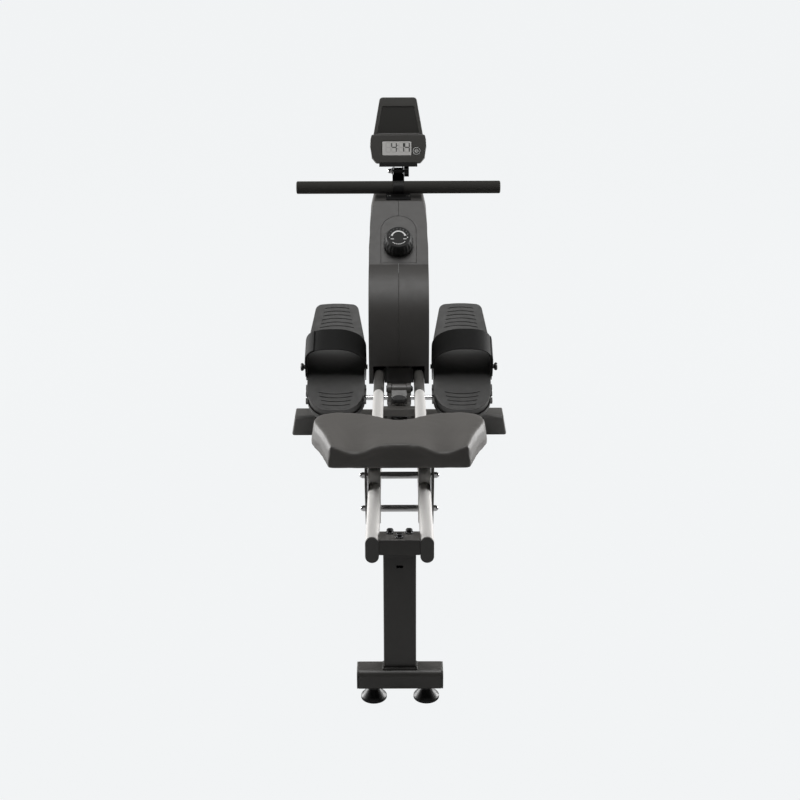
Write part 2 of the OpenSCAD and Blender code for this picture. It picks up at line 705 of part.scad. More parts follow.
module display_lens() color([0.6, 0.62, 0.58]) at_pivot() forward(-17.9, -16.5)
    translate([-3.5, 57]) round_rect(lcd_w, lcd_h, 2.7);

module display_button() color(plastic_black) at_pivot() translate([48, 0, 50]) rotate([90, 0, 0])
    translate([0, 0, 4]) cylinder(d = 19.4, h = 15);

module clamp_bolt() color(chrome_white) stand() translate([0, pivot[0], pivot[1]]) {
    reach = post_inner_x + post_t;
    rod_x(8, -reach - 0.2, reach + 10);
    rod_x(16, -reach - 2.2, -reach - 0.2);
    translate([-reach - 2.2, 0, 0]) rotate([0, -90, 0]) cylinder(d = 13, h = 5, $fn = 6);
    translate([-reach - 7.2, 0, 0]) sphere(6);
}

module clamp_knob() color(plastic_black) stand() translate([post_inner_x + post_t + 0.3, pivot[0], pivot[1]])
    rotate([0, 90, 0]) difference() {
        union() {
            cylinder(d = 26, h = 12);
            for (k = [0:5]) rotate([0, 0, 60 * k]) translate([11, 0, 0]) cylinder(d = 8, h = 12);
        }
        translate([0, 0, -1]) cylinder(d = 8 + 2 * run_gap, h = 11);
    }

module bar_tube() color(frame_black) stand() translate([0, bar_y, bar_z])
    rotate([0, 90, 0]) difference() {
        cylinder(d = 25, h = bar_len - 8, center = true);
        cylinder(d = 21, h = bar_len, center = true);
    }

module bar_grips() color([0.16, 0.16, 0.15]) stand() translate([0, bar_y, bar_z]) for (s = [0, 1])
    mirror([s, 0, 0]) rotate([0, 90, 0]) rotate_extrude() polygon([[12.6, 14], [grip_d / 2, 14],
        [grip_d / 2, bar_len / 2 - 3], [grip_d / 2 - 1, bar_len / 2 - 1], [grip_d / 2 - 3, bar_len / 2],
        [0, bar_len / 2], [0, bar_len / 2 - 3.8], [12.6, bar_len / 2 - 3.8]]);

module bar_collar() color(plastic_black) stand() translate([0, bar_y, bar_z])
    rotate([0, 90, 0]) difference() {
        cylinder(d = grip_d + 0.6, h = 27.4, center = true);
        cylinder(d = 25.2, h = 30, center = true);
    }

module rails() color(silver) rail_tubes(0, rail_len);

module rear_end_caps() color(plastic_black) {
    on_rails() for (s = [-1, 1]) translate([s * rail_spacing / 2, 0, -rail_h / 2]) {
        forward(-cap_t, 0) oval();
        forward(0, 20) oval(-rail_wall - 0.1);
    }
    stand() for (s = [-1, 1]) translate([s * (foot_len / 2 - 1.5), pad_y, foot_mid_z]) {
        across(3) round_rect(foot_d, foot_h, 12);
        translate([-s * 9, 0, 0]) across(15) round_rect(foot_d - 2 * tube_wall - 0.4,
            foot_h - 2 * tube_wall - 0.4, 9);
    }
}

bolt_places = [[-17.5, 32], [17.5, 32], [0, 10]];

module rear_crossbar() color(frame_black) on_rails() difference() {
    translate([0, 0, crossbar_top_w - crossbar_h / 2]) forward(-cap_t, crossbar_d - cap_t)
        square([2 * inner_x, crossbar_h], center = true);
    for (p = bolt_places) translate([p[0], p[1], crossbar_low_w - 5]) cylinder(d = bolt_d + 0.2, h = 50);
}

module crossbar_bolts() color([0.05, 0.05, 0.05]) on_rails() for (p = bolt_places)
    translate([p[0], p[1], crossbar_top_w]) {
        cylinder(d = bolt_head_d, h = 1.6);
        cylinder(d = bolt_head_d - 4, h = 7.5, $fn = 6);
        translate([0, 0, 0.1 - crossbar_h - top_plate_t]) cylinder(d = bolt_d, h = crossbar_h + top_plate_t);
    }

module rear_leg() color(frame_black) {
    leg_top_w = crossbar_low_w - top_plate_t;
    leg_reach = 280;
    difference() {
        union() {
            difference() {
                on_rails() translate([0, leg_u0 + leg_d / 2, leg_top_w - leg_reach]) difference() {
                    linear_extrude(leg_reach) round_rect(leg_w, leg_d, 4);
                    translate([0, 0, -1]) linear_extrude(leg_reach + 2)
                        round_rect(leg_w - 2 * tube_wall, leg_d - 2 * tube_wall, 2);
                    translate([-6, -leg_d, leg_reach - 22]) cube([12, leg_d, 5]);
                }
                stand() translate([-leg_w, pad_y - foot_d, -100])
                    cube([2 * leg_w, 2 * foot_d, 92 + pad_h + foot_h]);
            }
            stand() translate([0, pad_y, foot_mid_z]) across(foot_len - 6) round_rect(foot_d, foot_h, 12);
        }
        stand() translate([0, pad_y, foot_mid_z]) {
            across(foot_len) round_rect(foot_d - 2 * tube_wall, foot_h - 2 * tube_wall, 9);
            for (s = [-1, 1]) translate([s * pad_spacing / 2, 0, -foot_h])
                cylinder(d = pad_stud_d + 0.2, h = foot_h);
        }
    }
    on_rails() difference() {
        translate([1 - leg_w / 2, 1, leg_top_w]) cube([leg_w - 2, crossbar_d - cap_t - 2, top_plate_t]);
        for (p = bolt_places) translate([p[0], p[1], leg_top_w - 10]) cylinder(d = bolt_d + 0.2, h = 80);
    }
}

module rear_pad(side) color(plastic_black) stand() translate([side * pad_spacing / 2, pad_y, 0]) {
    rotate_extrude() polygon([[0, 0], [pad_d / 2 - 1, 0], [pad_d / 2, 1.5], [pad_d / 2, 6],
        [pad_d / 2 - 3, 9], [pad_stud_d / 2 + 6, pad_h - 6], [pad_stud_d / 2 + 5, pad_h - soft_gap],
        [0, pad_h - soft_gap]]);
    cylinder(d = pad_stud_d, h = pad_h + 20);
}

module fold_tongue() color(frame_black) on_rails() {
    cross_u = 890;
    cross_d = 26;
    cross_h = 17;
    difference() {
        union() {
            translate([0, 0, tongue_low_w + cross_h / 2]) forward(cross_u, cross_u + cross_d)
                square([2 * inner_x, cross_h], center = true);
            translate([0, 0, tongue_low_w + tongue_t / 2]) forward(cross_u + 2, fold_u - 30)
                square([tongue_w, tongue_t], center = true);
            across(tongue_w) union() {
                polygon([[fold_u - 31, tongue_low_w], [fold_u - 4, tongue_low_w], [fold_u + 8, -fold_w - 8],
                    [fold_u, -fold_w], [fold_u - 12, -fold_w], [fold_u - 31, -24]]);
                translate([fold_u, -fold_w]) circle(12);
            }
            translate([0, lock_u, tongue_top_w]) cylinder(d = lock_pin_d + 8, h = lock_bush_h);
        }
        translate([0, fold_u, -fold_w]) rod_x(fold_pin_d + 2 * run_gap, -60, 60);
        translate([0, lock_u, tongue_low_w - 5]) cylinder(d = lock_pin_d + 2 * run_gap, h = 40);
    }
}

module lock_knob() color(plastic_black) on_rails() translate([0, lock_u, 0]) {
    knob_low = tongue_top_w + lock_bush_h + soft_gap;
    translate([0, 0, knob_low]) rotate_extrude() polygon([[0, 0], [lock_knob_d / 2 - 2, 0],
        [lock_knob_d / 2, 3], [lock_knob_d / 2, 9], [lock_knob_d / 2 - 2, 11], [lock_knob_d / 2 - 4, 12], [0, 12]]);
    pin_low = bridge_top_w - bridge_t - 1;
    translate([0, 0, pin_low]) cylinder(d = lock_pin_d, h = knob_low + 1 - pin_low);
}

module rail_stops() color([0.05, 0.05, 0.05]) on_rails() {
    rear_u = seat_u - seat_back - lower_roller_r - 2 - stop_len;
    front_u = seat_u + seat_ahead + lower_roller_r + 3;
    for (s = [-1, 1], u = [rear_u, front_u])
        translate([s * rail_spacing / 2, 0, -rail_h - 4]) forward(u, u + stop_len) difference() {
            round_rect(20, 22, 3);
            translate([0, 4 + rail_h / 2]) oval(0.2);
        }
}

seat_axle_places = [[seat_u0, upper_axle_w], [seat_u1, upper_axle_w], [seat_u, low_axle_w]];

module seat_plates() color(frame_black) on_rails() difference() {
    plate_half = 84;
    for (s = [-1, 1]) {
        across(plate_t, s * (plate_x0 + plate_t / 2)) difference() {
            polygon(rounded([[seat_u - 24, low_axle_w - 28], [seat_u + 24, low_axle_w - 28],
                [seat_u + plate_half, upper_axle_w - 14], [seat_u + plate_half, seat_base_w],
                [seat_u - plate_half, seat_base_w], [seat_u - plate_half, upper_axle_w - 14]],
                [16, 16, 14, 0.5, 0.5, 14]));
            translate([seat_u, -rail_h / 2 + 4]) round_rect(34, 46, 12);
        }
        translate([s > 0 ? plate_x0 - 14 : -plate_x0, seat_u - 78, seat_base_w - 3]) cube([14, 156, 3]);
    }
    for (p = seat_axle_places) translate([0, p[0], p[1]]) rod_x(axle_d + 2 * run_gap, -100, 100);
}

module seat_axles() color(chrome_white) on_rails() for (p = seat_axle_places) translate([0, p[0], p[1]]) {
    reach = plate_x0 + plate_t;
    rod_x(axle_d, -reach - 4, reach + 4);
    spacer = rail_spacing / 2 - roller_w / 2 - soft_gap;
    rod_x(axle_d + 4, -spacer, spacer);
    for (s = [-1, 1]) {
        translate([s * (reach + 3.2), 0, 0]) rotate([0, 90, 0])
            cylinder(d = 13, h = 6, center = true, $fn = 6);
        translate([s * (reach + 6), 0, 0]) sphere(5.2);
    }
}

// Hourglass rollers, whose grooves follow the rounded rail edges
module rollers(u, w, centre_w, r_out) color([0.72, 0.71, 0.69]) on_rails() for (s = [-1, 1])
    translate([s * rail_spacing / 2, u, w]) rotate([0, 90, 0]) rotate_extrude(convexity = 4) difference() {
        translate([axle_d / 2 + run_gap, -roller_w / 2]) square([r_out - axle_d / 2 - run_gap, roller_w]);
        translate([abs(w - centre_w), 0]) circle(rail_r + roller_gap);
    }

module seat_base() color(frame_black) on_rails()
    translate([-76, seat_u - 86, seat_base_w]) cube([152, 172, seat_base_t]);

// Seat outline at a height: its sides draw in slightly from the base, where t is 0, to the top, where t is 1
function seat_outline(t) = let(half = seat_w / 2, draw = 1 - 0.035 * t)
    [for (p = [[0, 0], [half - 44, 0], [half - 34, 8], [half - 20, 62], [half - 5, 132], [half, 184],
        [half - 13, seat_d - 16], [half - 44, seat_d], [half - 104, seat_d - 1], [half - 128, seat_d - 26],
        [half - 152, seat_d - 41], [0, seat_d - 49]]) [p[0] * draw, p[1] + 1.5 * t * (1 - 2 * p[1] / seat_d)]];
function mirrored(points) = concat(points,
    [for (i = [len(points) - 2:-1:1]) [-points[i][0], points[i][1]]]);
// Height of the seat's top above the pad's base: two hollows behind, between its raised middle and sides
function seat_top(x, y) = let(across = abs(x) / (seat_w / 2), along = y / seat_d)
    seat_h - 14 * exp(-pow((abs(x) - 97) / 34, 2)) * (1 - 0.75 * along)
        - 2 * pow(across, 6) - 3 * pow(max(0, along - 0.55) / 0.45, 2) - 2 * exp(-pow(along / 0.06, 2));
function ring_blend(points, steps) = let(count = len(points)) [for (i = [0:count - 1]) for (k = [0:steps - 1])
    let(p0 = points[(i + count - 1) % count], p1 = points[i], p2 = points[(i + 1) % count],
        p3 = points[(i + 2) % count], t = k / steps)
    0.5 * (2 * p1 + (p2 - p0) * t + (2 * p0 - 5 * p1 + 4 * p2 - p3) * t * t
        + (3 * p1 - p0 - 3 * p2 + p3) * t * t * t)];
seat_steps = 3;
seat_levels = [[0.5, 0], [0, 0.08], [0.5, 0.5], [0.9, 0.86], [0.98, 0.95]];
seat_insets = [0.93, 0.8, 0.62, 0.42, 0.2];
module seat_pad() color([0.27, 0.26, 0.25]) on_rails() translate([0, seat_u - seat_d / 2, pad_w0]) {
    centre = [0, seat_d * 0.47];
    sides = [for (level = seat_levels) [for (p = ring_blend(mirrored(seat_outline(level[0])), seat_steps))
        [p[0], p[1], level[1] * seat_top(p[0], p[1])]]];
    edge = ring_blend(mirrored(seat_outline(1)), seat_steps);
    tops = [for (f = seat_insets) [for (p = edge) let(q = centre + (p - centre) * f)
        [q[0], q[1], seat_top(q[0], q[1])]]];
    rings = concat(sides, tops);
    count = len(edge);
    last = len(rings) - 1;
    points = concat([for (ring = rings) each ring], [[0, centre[1], seat_top(0, centre[1])]]);
    polyhedron(points, concat([[for (i = [0:count - 1]) i]],
        [for (r = [0:last - 1], i = [0:count - 1])
            let(a = r * count + i, b = r * count + (i + 1) % count)
            each [[a, a + count, b], [b, a + count, b + count]]],
        [for (i = [0:count - 1]) [last * count + (i + 1) % count, last * count + i, (last + 1) * count]]));
}

// Footplate coordinates: x, s up the plate and n square to it, from the axle
module at_pedal(side) stand() translate([side * pedal_x, pedal_axle_y, pedal_axle_z])
    rotate([pedal_pitch, 0, 0]) children();

module pedal_outline(grow = 0) {
    half = pedal_w / 2 + grow;
    polygon(rounded([[-half + 9, pedal_heel_s - grow], [half - 9, pedal_heel_s - grow], [half, 20],
        [half - 1, 150], [half - 20, pedal_toe_s + grow], [0, pedal_toe_s + pedal_crown + grow],
        [-half + 20, pedal_toe_s + grow], [-half + 1, 150], [-half, 20]],
        [52, 52, 90, 160, 18, 300, 18, 160, 90]));
}

module ring_groove(y, r, half_w) intersection() {
    translate([0, y - r]) difference() { circle(r + 0.9, $fn = 96); circle(r - 0.9, $fn = 96); }
    translate([-half_w, y - 40]) square([2 * half_w, 80]);
}

module pedal(side) color([0.2, 0.2, 0.19]) at_pedal(side) difference() {
    plate_low = pedal_face_n - pedal_t;
    union() {
        translate([0, 0, plate_low]) linear_extrude(pedal_t) pedal_outline();
        // Heel cup
        translate([0, 0, plate_low]) linear_extrude(pedal_t + heel_h) intersection() {
            difference() { pedal_outline(); pedal_outline(-4); }
            translate([-200, pedal_heel_s - 20]) square([400, 62]);
        }
        // Rim of the frame under the heel, with notched clips at its sides
        translate([0, 0, frame_low_n]) linear_extrude(plate_low + 1 - frame_low_n) intersection() {
            difference() { pedal_outline(frame_rim); pedal_outline(-frame_rim); }
            translate([-200, pedal_heel_s - 20]) square([400, 97]);
        }
        for (s = [-1, 1], k = [0:2])
            translate([s > 0 ? pedal_w / 2 - frame_rim : -pedal_w / 2 - frame_rim, -18 + 18 * k, 0])
                cube([2 * frame_rim, 12, pedal_face_n - 3]);
        // Side ribs, axle bosses and cross ribs
        for (s = [-1, 1]) {
            translate([s * (pedal_w / 2 - 12) - 3, -30, -4]) cube([6, 210, plate_low + 5]);
            translate([s * (pedal_w / 2 - 22), 0, 0]) rod_x(pedal_axle_d + 12, -pedal_boss_w / 2, pedal_boss_w / 2);
        }
        for (u = [60, 120, 180]) translate([-pedal_w / 2 + 14, u, 0]) cube([pedal_w - 28, 4, plate_low + 1]);
        // Stud with a round head that holds the inner end of the strap
        translate([0, strap_anchor_s, strap_anchor_n]) {
            x0 = pedal_w / 2 - 12;
            x1 = strap_face_x + strap_t + soft_gap;
            mirror([side > 0 ? 1 : 0, 0, 0]) {
                rod_x(strap_stud_d, x0, x1 + 0.1);
                rod_x(12, x1, x1 + 3);
            }
        }
    }
    rod_x(pedal_axle_d + 2 * run_gap, -100, 100);
    for (s = [-1, 1])
        translate([s * (rib_out_x + soft_gap + axle_collar_t / 2), 0, 0]) rotate([0, 90, 0])
            cylinder(d = axle_collar_d + 2 * soft_gap, h = axle_collar_t + 2 * soft_gap, center = true);
    translate([0, 0, pedal_face_n - 1.5]) linear_extrude(5) {
        for (k = [0:5]) ring_groove(pedal_toe_s - 8 - groove_pitch * k, 160, 31 + 2.4 * k);
        for (k = [0:4]) mirror([0, 1, 0]) ring_groove(39 - groove_pitch * k, 190, 31 + 3.2 * k);
    }
    translate([0, strap_anchor_s, strap_anchor_n]) mirror([side > 0 ? 0 : 1, 0, 0])
        rod_x(strap_stud_d + 2 * run_gap, 30, 100);
}

// Arch of the foot strap, a band that leans towards the toes from its two anchors
function arch_point(a, half, rise) = [half * cos(a), strap_leg_h + (rise - strap_leg_h) * sin(a)];
module foot_strap(side) color([0.06, 0.06, 0.06]) at_pedal(side)
    translate([0, strap_anchor_s, strap_anchor_n]) difference() {
        rotate([-strap_lean, 0, 0]) forward(-foot_strap_w / 2, foot_strap_w / 2) polygon(concat(
            [[strap_face_x + strap_t, -12]],
            [for (k = [0:16]) arch_point(k * 11.25, strap_face_x + strap_t, foot_strap_h + strap_t)],
            [[-strap_face_x - strap_t, -12], [-strap_face_x, -12]],
            [for (k = [16:-1:0]) arch_point(k * 11.25, strap_face_x, foot_strap_h)],
            [[strap_face_x, -12]]));
        rod_x(strap_stud_d + 0.6, -100, 100);
    }

module strap_knob(side) color(plastic_black) at_pedal(side)
    translate([0, strap_anchor_s, strap_anchor_n]) mirror([side > 0 ? 0 : 1, 0, 0]) {
        x0 = strap_face_x + strap_t + soft_gap;
        rod_x(strap_stud_d, x0 - 16, x0 + 1);
        rod_x(11, x0, x0 + 7);
        translate([x0 + 7, 0, 0]) rotate([0, 90, 0]) rotate_extrude() polygon([[0, 0], [8, 0], [10, 3],
            [10, 6], [8, 8], [0, 8]]);
    }

module pedal_axle() color(chrome_white) stand() translate([0, pedal_axle_y, pedal_axle_z]) {
    reach = pedal_x + rib_out_x + soft_gap;
    rod_x(pedal_axle_d, -reach, reach);
    for (s = [-1, 1], x = [reach + axle_collar_t / 2, pedal_x - rib_out_x - soft_gap - axle_collar_t / 2])
        translate([s * x, 0, 0]) rotate([0, 90, 0])
            cylinder(d = axle_collar_d, h = axle_collar_t, center = true);
}

main_frame();
front_crossbar();
rail_stubs();
fold_bracket();
fold_pin();
front_stabiliser();
stabiliser_caps();
transport_wheel(-1);  // transport_wheel_left
transport_wheel(1);  // transport_wheel_right
frame_plates();
shafts();
flywheel();
drive_pulley();
drive_belt();
strap_reel();
recoil_spring_drum();
magnet_arm();
head_bracket();
head_screws();
guide_roller();
pull_strap();
housing_half(-1);  // housing_left
housing_half(1);  // housing_right
knob_panel();
tension_knob();
display_bracket();
display_back();
display_front();
display_lens();
display_button();
clamp_bolt();
clamp_knob();
bar_tube();
bar_grips();
bar_collar();
rails();
rear_end_caps();
rear_crossbar();
crossbar_bolts();
rear_leg();
rear_pad(-1);  // rear_pad_left
rear_pad(1);  // rear_pad_right
fold_tongue();
rail_stops();
lock_knob();
seat_plates();
seat_base();
seat_pad();
seat_axles();
rollers(seat_u0, upper_axle_w, -rail_r, upper_roller_r);  // rollers_upper_rear
rollers(seat_u1, upper_axle_w, -rail_r, upper_roller_r);  // rollers_upper_front
rollers(seat_u, low_axle_w, rail_r - rail_h, lower_roller_r);  // rollers_lower
pedal_axle();
pedal(-1);  // pedal_left
pedal(1);  // pedal_right
foot_strap(-1);  // foot_strap_left
foot_strap(1);  // foot_strap_right
strap_knob(-1);  // strap_knob_left
strap_knob(1);  // strap_knob_right
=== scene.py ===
import math
import bpy
from mathutils import Matrix, Vector


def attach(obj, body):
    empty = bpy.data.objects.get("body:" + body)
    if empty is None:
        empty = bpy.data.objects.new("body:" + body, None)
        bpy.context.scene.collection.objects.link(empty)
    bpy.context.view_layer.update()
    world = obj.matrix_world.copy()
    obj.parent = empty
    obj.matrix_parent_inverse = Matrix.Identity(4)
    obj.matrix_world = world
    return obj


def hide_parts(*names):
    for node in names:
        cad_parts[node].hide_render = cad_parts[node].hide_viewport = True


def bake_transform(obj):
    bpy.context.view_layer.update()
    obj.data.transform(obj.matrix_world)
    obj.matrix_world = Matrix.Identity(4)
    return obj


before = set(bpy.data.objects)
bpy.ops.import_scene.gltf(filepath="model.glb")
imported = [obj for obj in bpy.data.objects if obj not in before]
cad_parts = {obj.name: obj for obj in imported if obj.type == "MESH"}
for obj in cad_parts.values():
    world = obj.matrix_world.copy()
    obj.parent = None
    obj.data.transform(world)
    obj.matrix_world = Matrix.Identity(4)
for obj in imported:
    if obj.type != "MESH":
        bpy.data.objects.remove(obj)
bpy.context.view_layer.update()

# The view, the floor and the lamps.
# The camera looks down on the machine from behind the seat, in line with the rails, through a long lens.
# The floor and the world are pale for the camera only, and the lamps are four soft panels.
view_width_px = 800
view_focal_px = 1500
sensor_width = 36.0
rails_centre_px = 399.1
camera_roll = math.radians(-0.2)
camera_height = 1.551
camera_pitch = math.radians(21.5)
camera_y = -3.1855
lens = bpy.data.cameras.new("view")
lens.sensor_width = sensor_width
lens.lens = view_focal_px / view_width_px * sensor_width
lens.shift_x = (view_width_px / 2 - rails_centre_px) / view_width_px
camera = bpy.data.objects.new("view", lens)
camera.matrix_world = (Matrix.Translation((0, camera_y, camera_height))
                       @ Matrix.Rotation(math.pi / 2 - camera_pitch, 4, "X")
                       @ Matrix.Rotation(camera_roll, 4, "Z"))
bpy.context.scene.collection.objects.link(camera)
bpy.context.scene.camera = camera
bpy.context.scene.view_settings.view_transform = "Standard"


class Value:
    """One output of a finish, on which shader sums are written as ordinary expressions."""

    def __init__(self, finish, socket):
        self.finish, self.socket = finish, socket

    def maths(self, operation, *terms):
        return self.finish.node("ShaderNodeMath", {"operation": operation}, terms)

    def __add__(self, other):
        return self.maths("ADD", self, other)

    def __mul__(self, other):
        return self.maths("MULTIPLY", self, other)

    def sine(self):
        return self.maths("SINE", self)

    __radd__ = __add__
    __rmul__ = __mul__


class Finish:
    """A material: one Principled shader, whose varying values are wired from pattern nodes."""

    def __init__(self, name, colour, roughness, metallic=0.0, **sockets):
        self.material = bpy.data.materials.new(name)
        self.material.use_nodes = True
        self.tree = self.material.node_tree
        self.shader = self.tree.nodes["Principled BSDF"]
        self.place = self.node("ShaderNodeTexCoord", {}, (), "Object")
        self.set("Base Color", colour)
        self.set("Roughness", roughness)
        self.set("Metallic", metallic)
        for key, number in sockets.items():
            self.set(key.replace("_", " "), number)

    def wire(self, socket, term):
        if isinstance(term, Value):
            self.tree.links.new(term.socket, socket)
        elif isinstance(term, tuple) and len(term) == 3 and socket.type == "RGBA":
            socket.default_value = (*term, 1)
        else:
            socket.default_value = term

    def node(self, kind, settings, terms, output=0):
        made = self.tree.nodes.new(kind)
        for key, setting in settings.items():
            setattr(made, key, setting)
        for key, term in terms.items() if isinstance(terms, dict) else enumerate(terms):
            self.wire(made.inputs[key], term)
        return Value(self, made.outputs[output])

    def set(self, name, term):
        self.wire(self.shader.inputs[name], term)
        return self

    def noise(self, scale, detail=2.0):
        terms = {"Vector": self.place, "Scale": scale, "Detail": detail}
        return self.node("ShaderNodeTexNoise", {}, terms, "Fac")

    def mix(self, share, first, second):
        return self.node("ShaderNodeMix", {"data_type": "RGBA"}, {0: share, 6: first, 7: second}, 2)

    def axis(self, name, place=None):
        return self.node("ShaderNodeSeparateXYZ", {}, (place or self.place,), name)

    def bump(self, height, distance, strength):
        terms = {"Strength": strength, "Distance": distance, "Height": height}
        return self.set("Normal", self.node("ShaderNodeBump", {}, terms))

    def clouded(self, scale, first, second, detail=3.0):
        """Lets the colour wander between two tones, in clouds of a given scale."""
        return self.set("Base Color", self.mix(self.noise(scale, detail), first, second))

    def unevenly_rough(self, scale, least, spread, detail=2.0):
        """Lets the roughness wander upwards from its least value by a spread."""
        return self.set("Roughness", self.noise(scale, detail) * spread + least)

    def grained(self, scale, depth, strength, detail=1.0):
        """Gives the surface a grain of a given depth in metres."""
        return self.bump(self.noise(scale, detail), depth, strength)

    def on(self, *things):
        for thing in things:
            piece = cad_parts[thing] if isinstance(thing, str) else thing
            piece.data.materials.clear()
            piece.data.materials.append(self.material)
        return self


def deselect():
    bpy.ops.object.select_all(action="DESELECT")


backdrop_shade = (0.896, 0.912, 0.921)
floor_size = 30
seen_glow = 0.985
deselect()
bpy.ops.mesh.primitive_plane_add(size=floor_size)
floor = bpy.context.object
floor.name = "floor"
pale = Finish("floor", (0.42, 0.42, 0.42), 0.9)
seen = pale.node("ShaderNodeLightPath", {}, (), "Is Camera Ray") * seen_glow
glow = pale.node("ShaderNodeEmission", {}, {"Color": backdrop_shade, "Strength": 1.0})
matt = Value(pale, pale.shader.outputs[0])
floor_shader = pale.node("ShaderNodeMixShader", {}, {0: seen, 1: matt, 2: glow})
pale.wire(pale.tree.nodes["Material Output"].inputs["Surface"], floor_shader)
pale.on(floor)

world = bpy.data.worlds.new("studio")
bpy.context.scene.world = world
world.use_nodes = True
sky = world.node_tree
soft_light = sky.nodes["Background"]
soft_light.inputs["Color"].default_value = (1, 1, 1, 1)
soft_light.inputs["Strength"].default_value = 0.01
seen_light = sky.nodes.new("ShaderNodeBackground")
seen_light.inputs["Color"].default_value = (*backdrop_shade, 1)
seen_light.inputs["Strength"].default_value = 1.0
rays = sky.nodes.new("ShaderNodeLightPath")
either = sky.nodes.new("ShaderNodeMath")
either.operation = "MAXIMUM"
blend_light = sky.nodes.new("ShaderNodeMixShader")
sky.links.new(rays.outputs["Is Camera Ray"], either.inputs[0])
sky.links.new(rays.outputs["Is Transmission Ray"], either.inputs[1])
sky.links.new(either.outputs[0], blend_light.inputs[0])
sky.links.new(soft_light.outputs[0], blend_light.inputs[1])
sky.links.new(seen_light.outputs[0], blend_light.inputs[2])
sky.links.new(blend_light.outputs[0], sky.nodes["World Output"].inputs["Surface"])

# Each lamp's place, the point that it faces, its width and its power
lamps = {
    "overhead": ((0.0, 0.3, 3.4), (0.0, 0.1, 0.0), 1.2, 26.0),
    "overhead_rear": ((0.0, -0.8, 3.4), (0.0, 0.1, 0.0), 1.2, 34.0),
    "left": ((-3.0, 1.5, 0.9), (0.0, -0.1, 0.4), 1.6, 155.0),
    "right": ((3.0, 1.5, 0.9), (0.0, -0.1, 0.4), 1.6, 155.0),
}
for name, (place, target, size, power) in lamps.items():
    panel = bpy.data.lights.new(name, "AREA")
    panel.size = size
    panel.energy = power
    lamp = bpy.data.objects.new(name, panel)
    lamp.location = place
    lamp.rotation_euler = (Vector(target) - Vector(place)).to_track_quat("-Z", "Y").to_euler()
    bpy.context.scene.collection.objects.link(lamp)

# The rear leg, the foot tube and the crossbar.
# The leg is a rectangular steel tube that is welded onto the foot tube, and the crossbar joins the two rails.
# All of the steel frame is under a satin black powder coat, unevenly dull and with a faint orange peel.
hard_edge_degrees = 38
coat = Finish("frame_coat", (0.084, 0.081, 0.076), 0.45)
coat.clouded(9, (0.077, 0.075, 0.07), (0.092, 0.088, 0.083))
coat.unevenly_rough(60, 0.33, 0.14)
coat.grained(700, 0.0001, 0.35)


def on_top(piece):
    """Makes a piece the only selected and the active object."""
    deselect()
    piece.select_set(True)
    bpy.context.view_layer.objects.active = piece


same_place = 0.00001
flat_degrees = 0.6


def copied(node):
    """A copy of a CAD node with its loose triangles merged, ready to be shaped further."""
    piece = bpy.data.objects.new(node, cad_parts[node].data.copy())
    bpy.context.scene.collection.objects.link(piece)
    on_top(piece)
    bpy.ops.object.mode_set(mode="EDIT")
    bpy.ops.mesh.select_all(action="SELECT")
    bpy.ops.mesh.remove_doubles(threshold=same_place)
    bpy.ops.mesh.dissolve_limited(angle_limit=math.radians(flat_degrees))
    bpy.ops.object.mode_set(mode="OBJECT")
    return piece


def modified(piece, kind, **settings):
    """Adds a modifier with its settings to a piece and applies it."""
    on_top(piece)
    modifier = piece.modifiers.new(kind.lower(), kind)
    for key, setting in settings.items():
        setattr(modifier, key, setting)
    bpy.ops.object.modifier_apply(modifier=modifier.name)
    return piece


def rounded_over(piece, radius, steps=2, sharper_than=hard_edge_degrees):
    """Rounds over the hard edges of a piece."""
    return modified(piece, "BEVEL", width=radius, segments=steps, limit_method="ANGLE",
                    angle_limit=math.radians(sharper_than), use_clamp_overlap=False)


def finished(piece, name, body, finish, *nodes, smooth=hard_edge_degrees):
    """Settles a piece's place in its mesh, gives it its name, finish and body, and hides the CAD nodes it
    stands for.
    """
    on_top(piece)
    bpy.ops.object.transform_apply(location=True, rotation=True, scale=True)
    if smooth:
        bpy.ops.object.shade_smooth_by_angle(angle=math.radians(smooth))
        modified(piece, "WEIGHTED_NORMAL", keep_sharp=True, weight=80)
    piece.name = name
    finish.on(piece)
    if body:
        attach(piece, body)
    if nodes:
        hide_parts(*nodes)
    return piece


def soft_edged(node, body, finish, radius, steps=2, sharper_than=hard_edge_degrees):
    """Stands for a CAD node with a copy whose hard edges are rounded over."""
    piece = rounded_over(copied(node), radius, steps, sharper_than)
    return finished(piece, node + "_formed", body, finish, node)


for node, radius in {"rear_leg": 0.0008, "rear_crossbar": 0.0015}.items():
    soft_edged(node, "rail_section", coat, radius)

# The weld between the leg and the foot tube.
# A bead of weld metal runs round the foot of the leg, under the same coat, with the ripples of a hand weld.
weld_place = (0, -0.7705, 0.0688)
weld_width, weld_depth = 0.0615, 0.0262
bead_radius = 0.0022
ripples = 2400
weld = Finish("weld_bead", (0.05, 0.048, 0.044), 0.42)
weld.bump(((weld.axis("X") + weld.axis("Y")) * ripples).sine(), 0.0004, 0.8)
deselect()
bpy.ops.mesh.primitive_plane_add(size=1, location=weld_place)
bead = bpy.context.object
bead.scale = (weld_width, weld_depth, 1)
bpy.ops.object.transform_apply(location=True, scale=True)
bpy.ops.object.mode_set(mode="EDIT")
bpy.ops.mesh.delete(type="ONLY_FACE")
bpy.ops.object.mode_set(mode="OBJECT")
bpy.ops.object.convert(target="CURVE")
bead.data.bevel_depth = bead_radius
bead.data.bevel_resolution = 3
bpy.ops.object.convert(target="MESH")
finished(bead, "weld_bead", "rail_section", weld)

# The rear pads, which screw in and out to level the machine.
# Moulded black plastic feet with a flat floor ring and a waisted neck, on steel studs.
plastic = Finish("moulded_black", (0.024, 0.024, 0.024), 0.42)
plastic.unevenly_rough(45, 0.36, 0.12)
plastic.grained(1500, 0.00008, 0.4)
for side in ("left", "right"):
    soft_edged("rear_pad_" + side, "rear_pad_" + side, plastic, 0.0009)

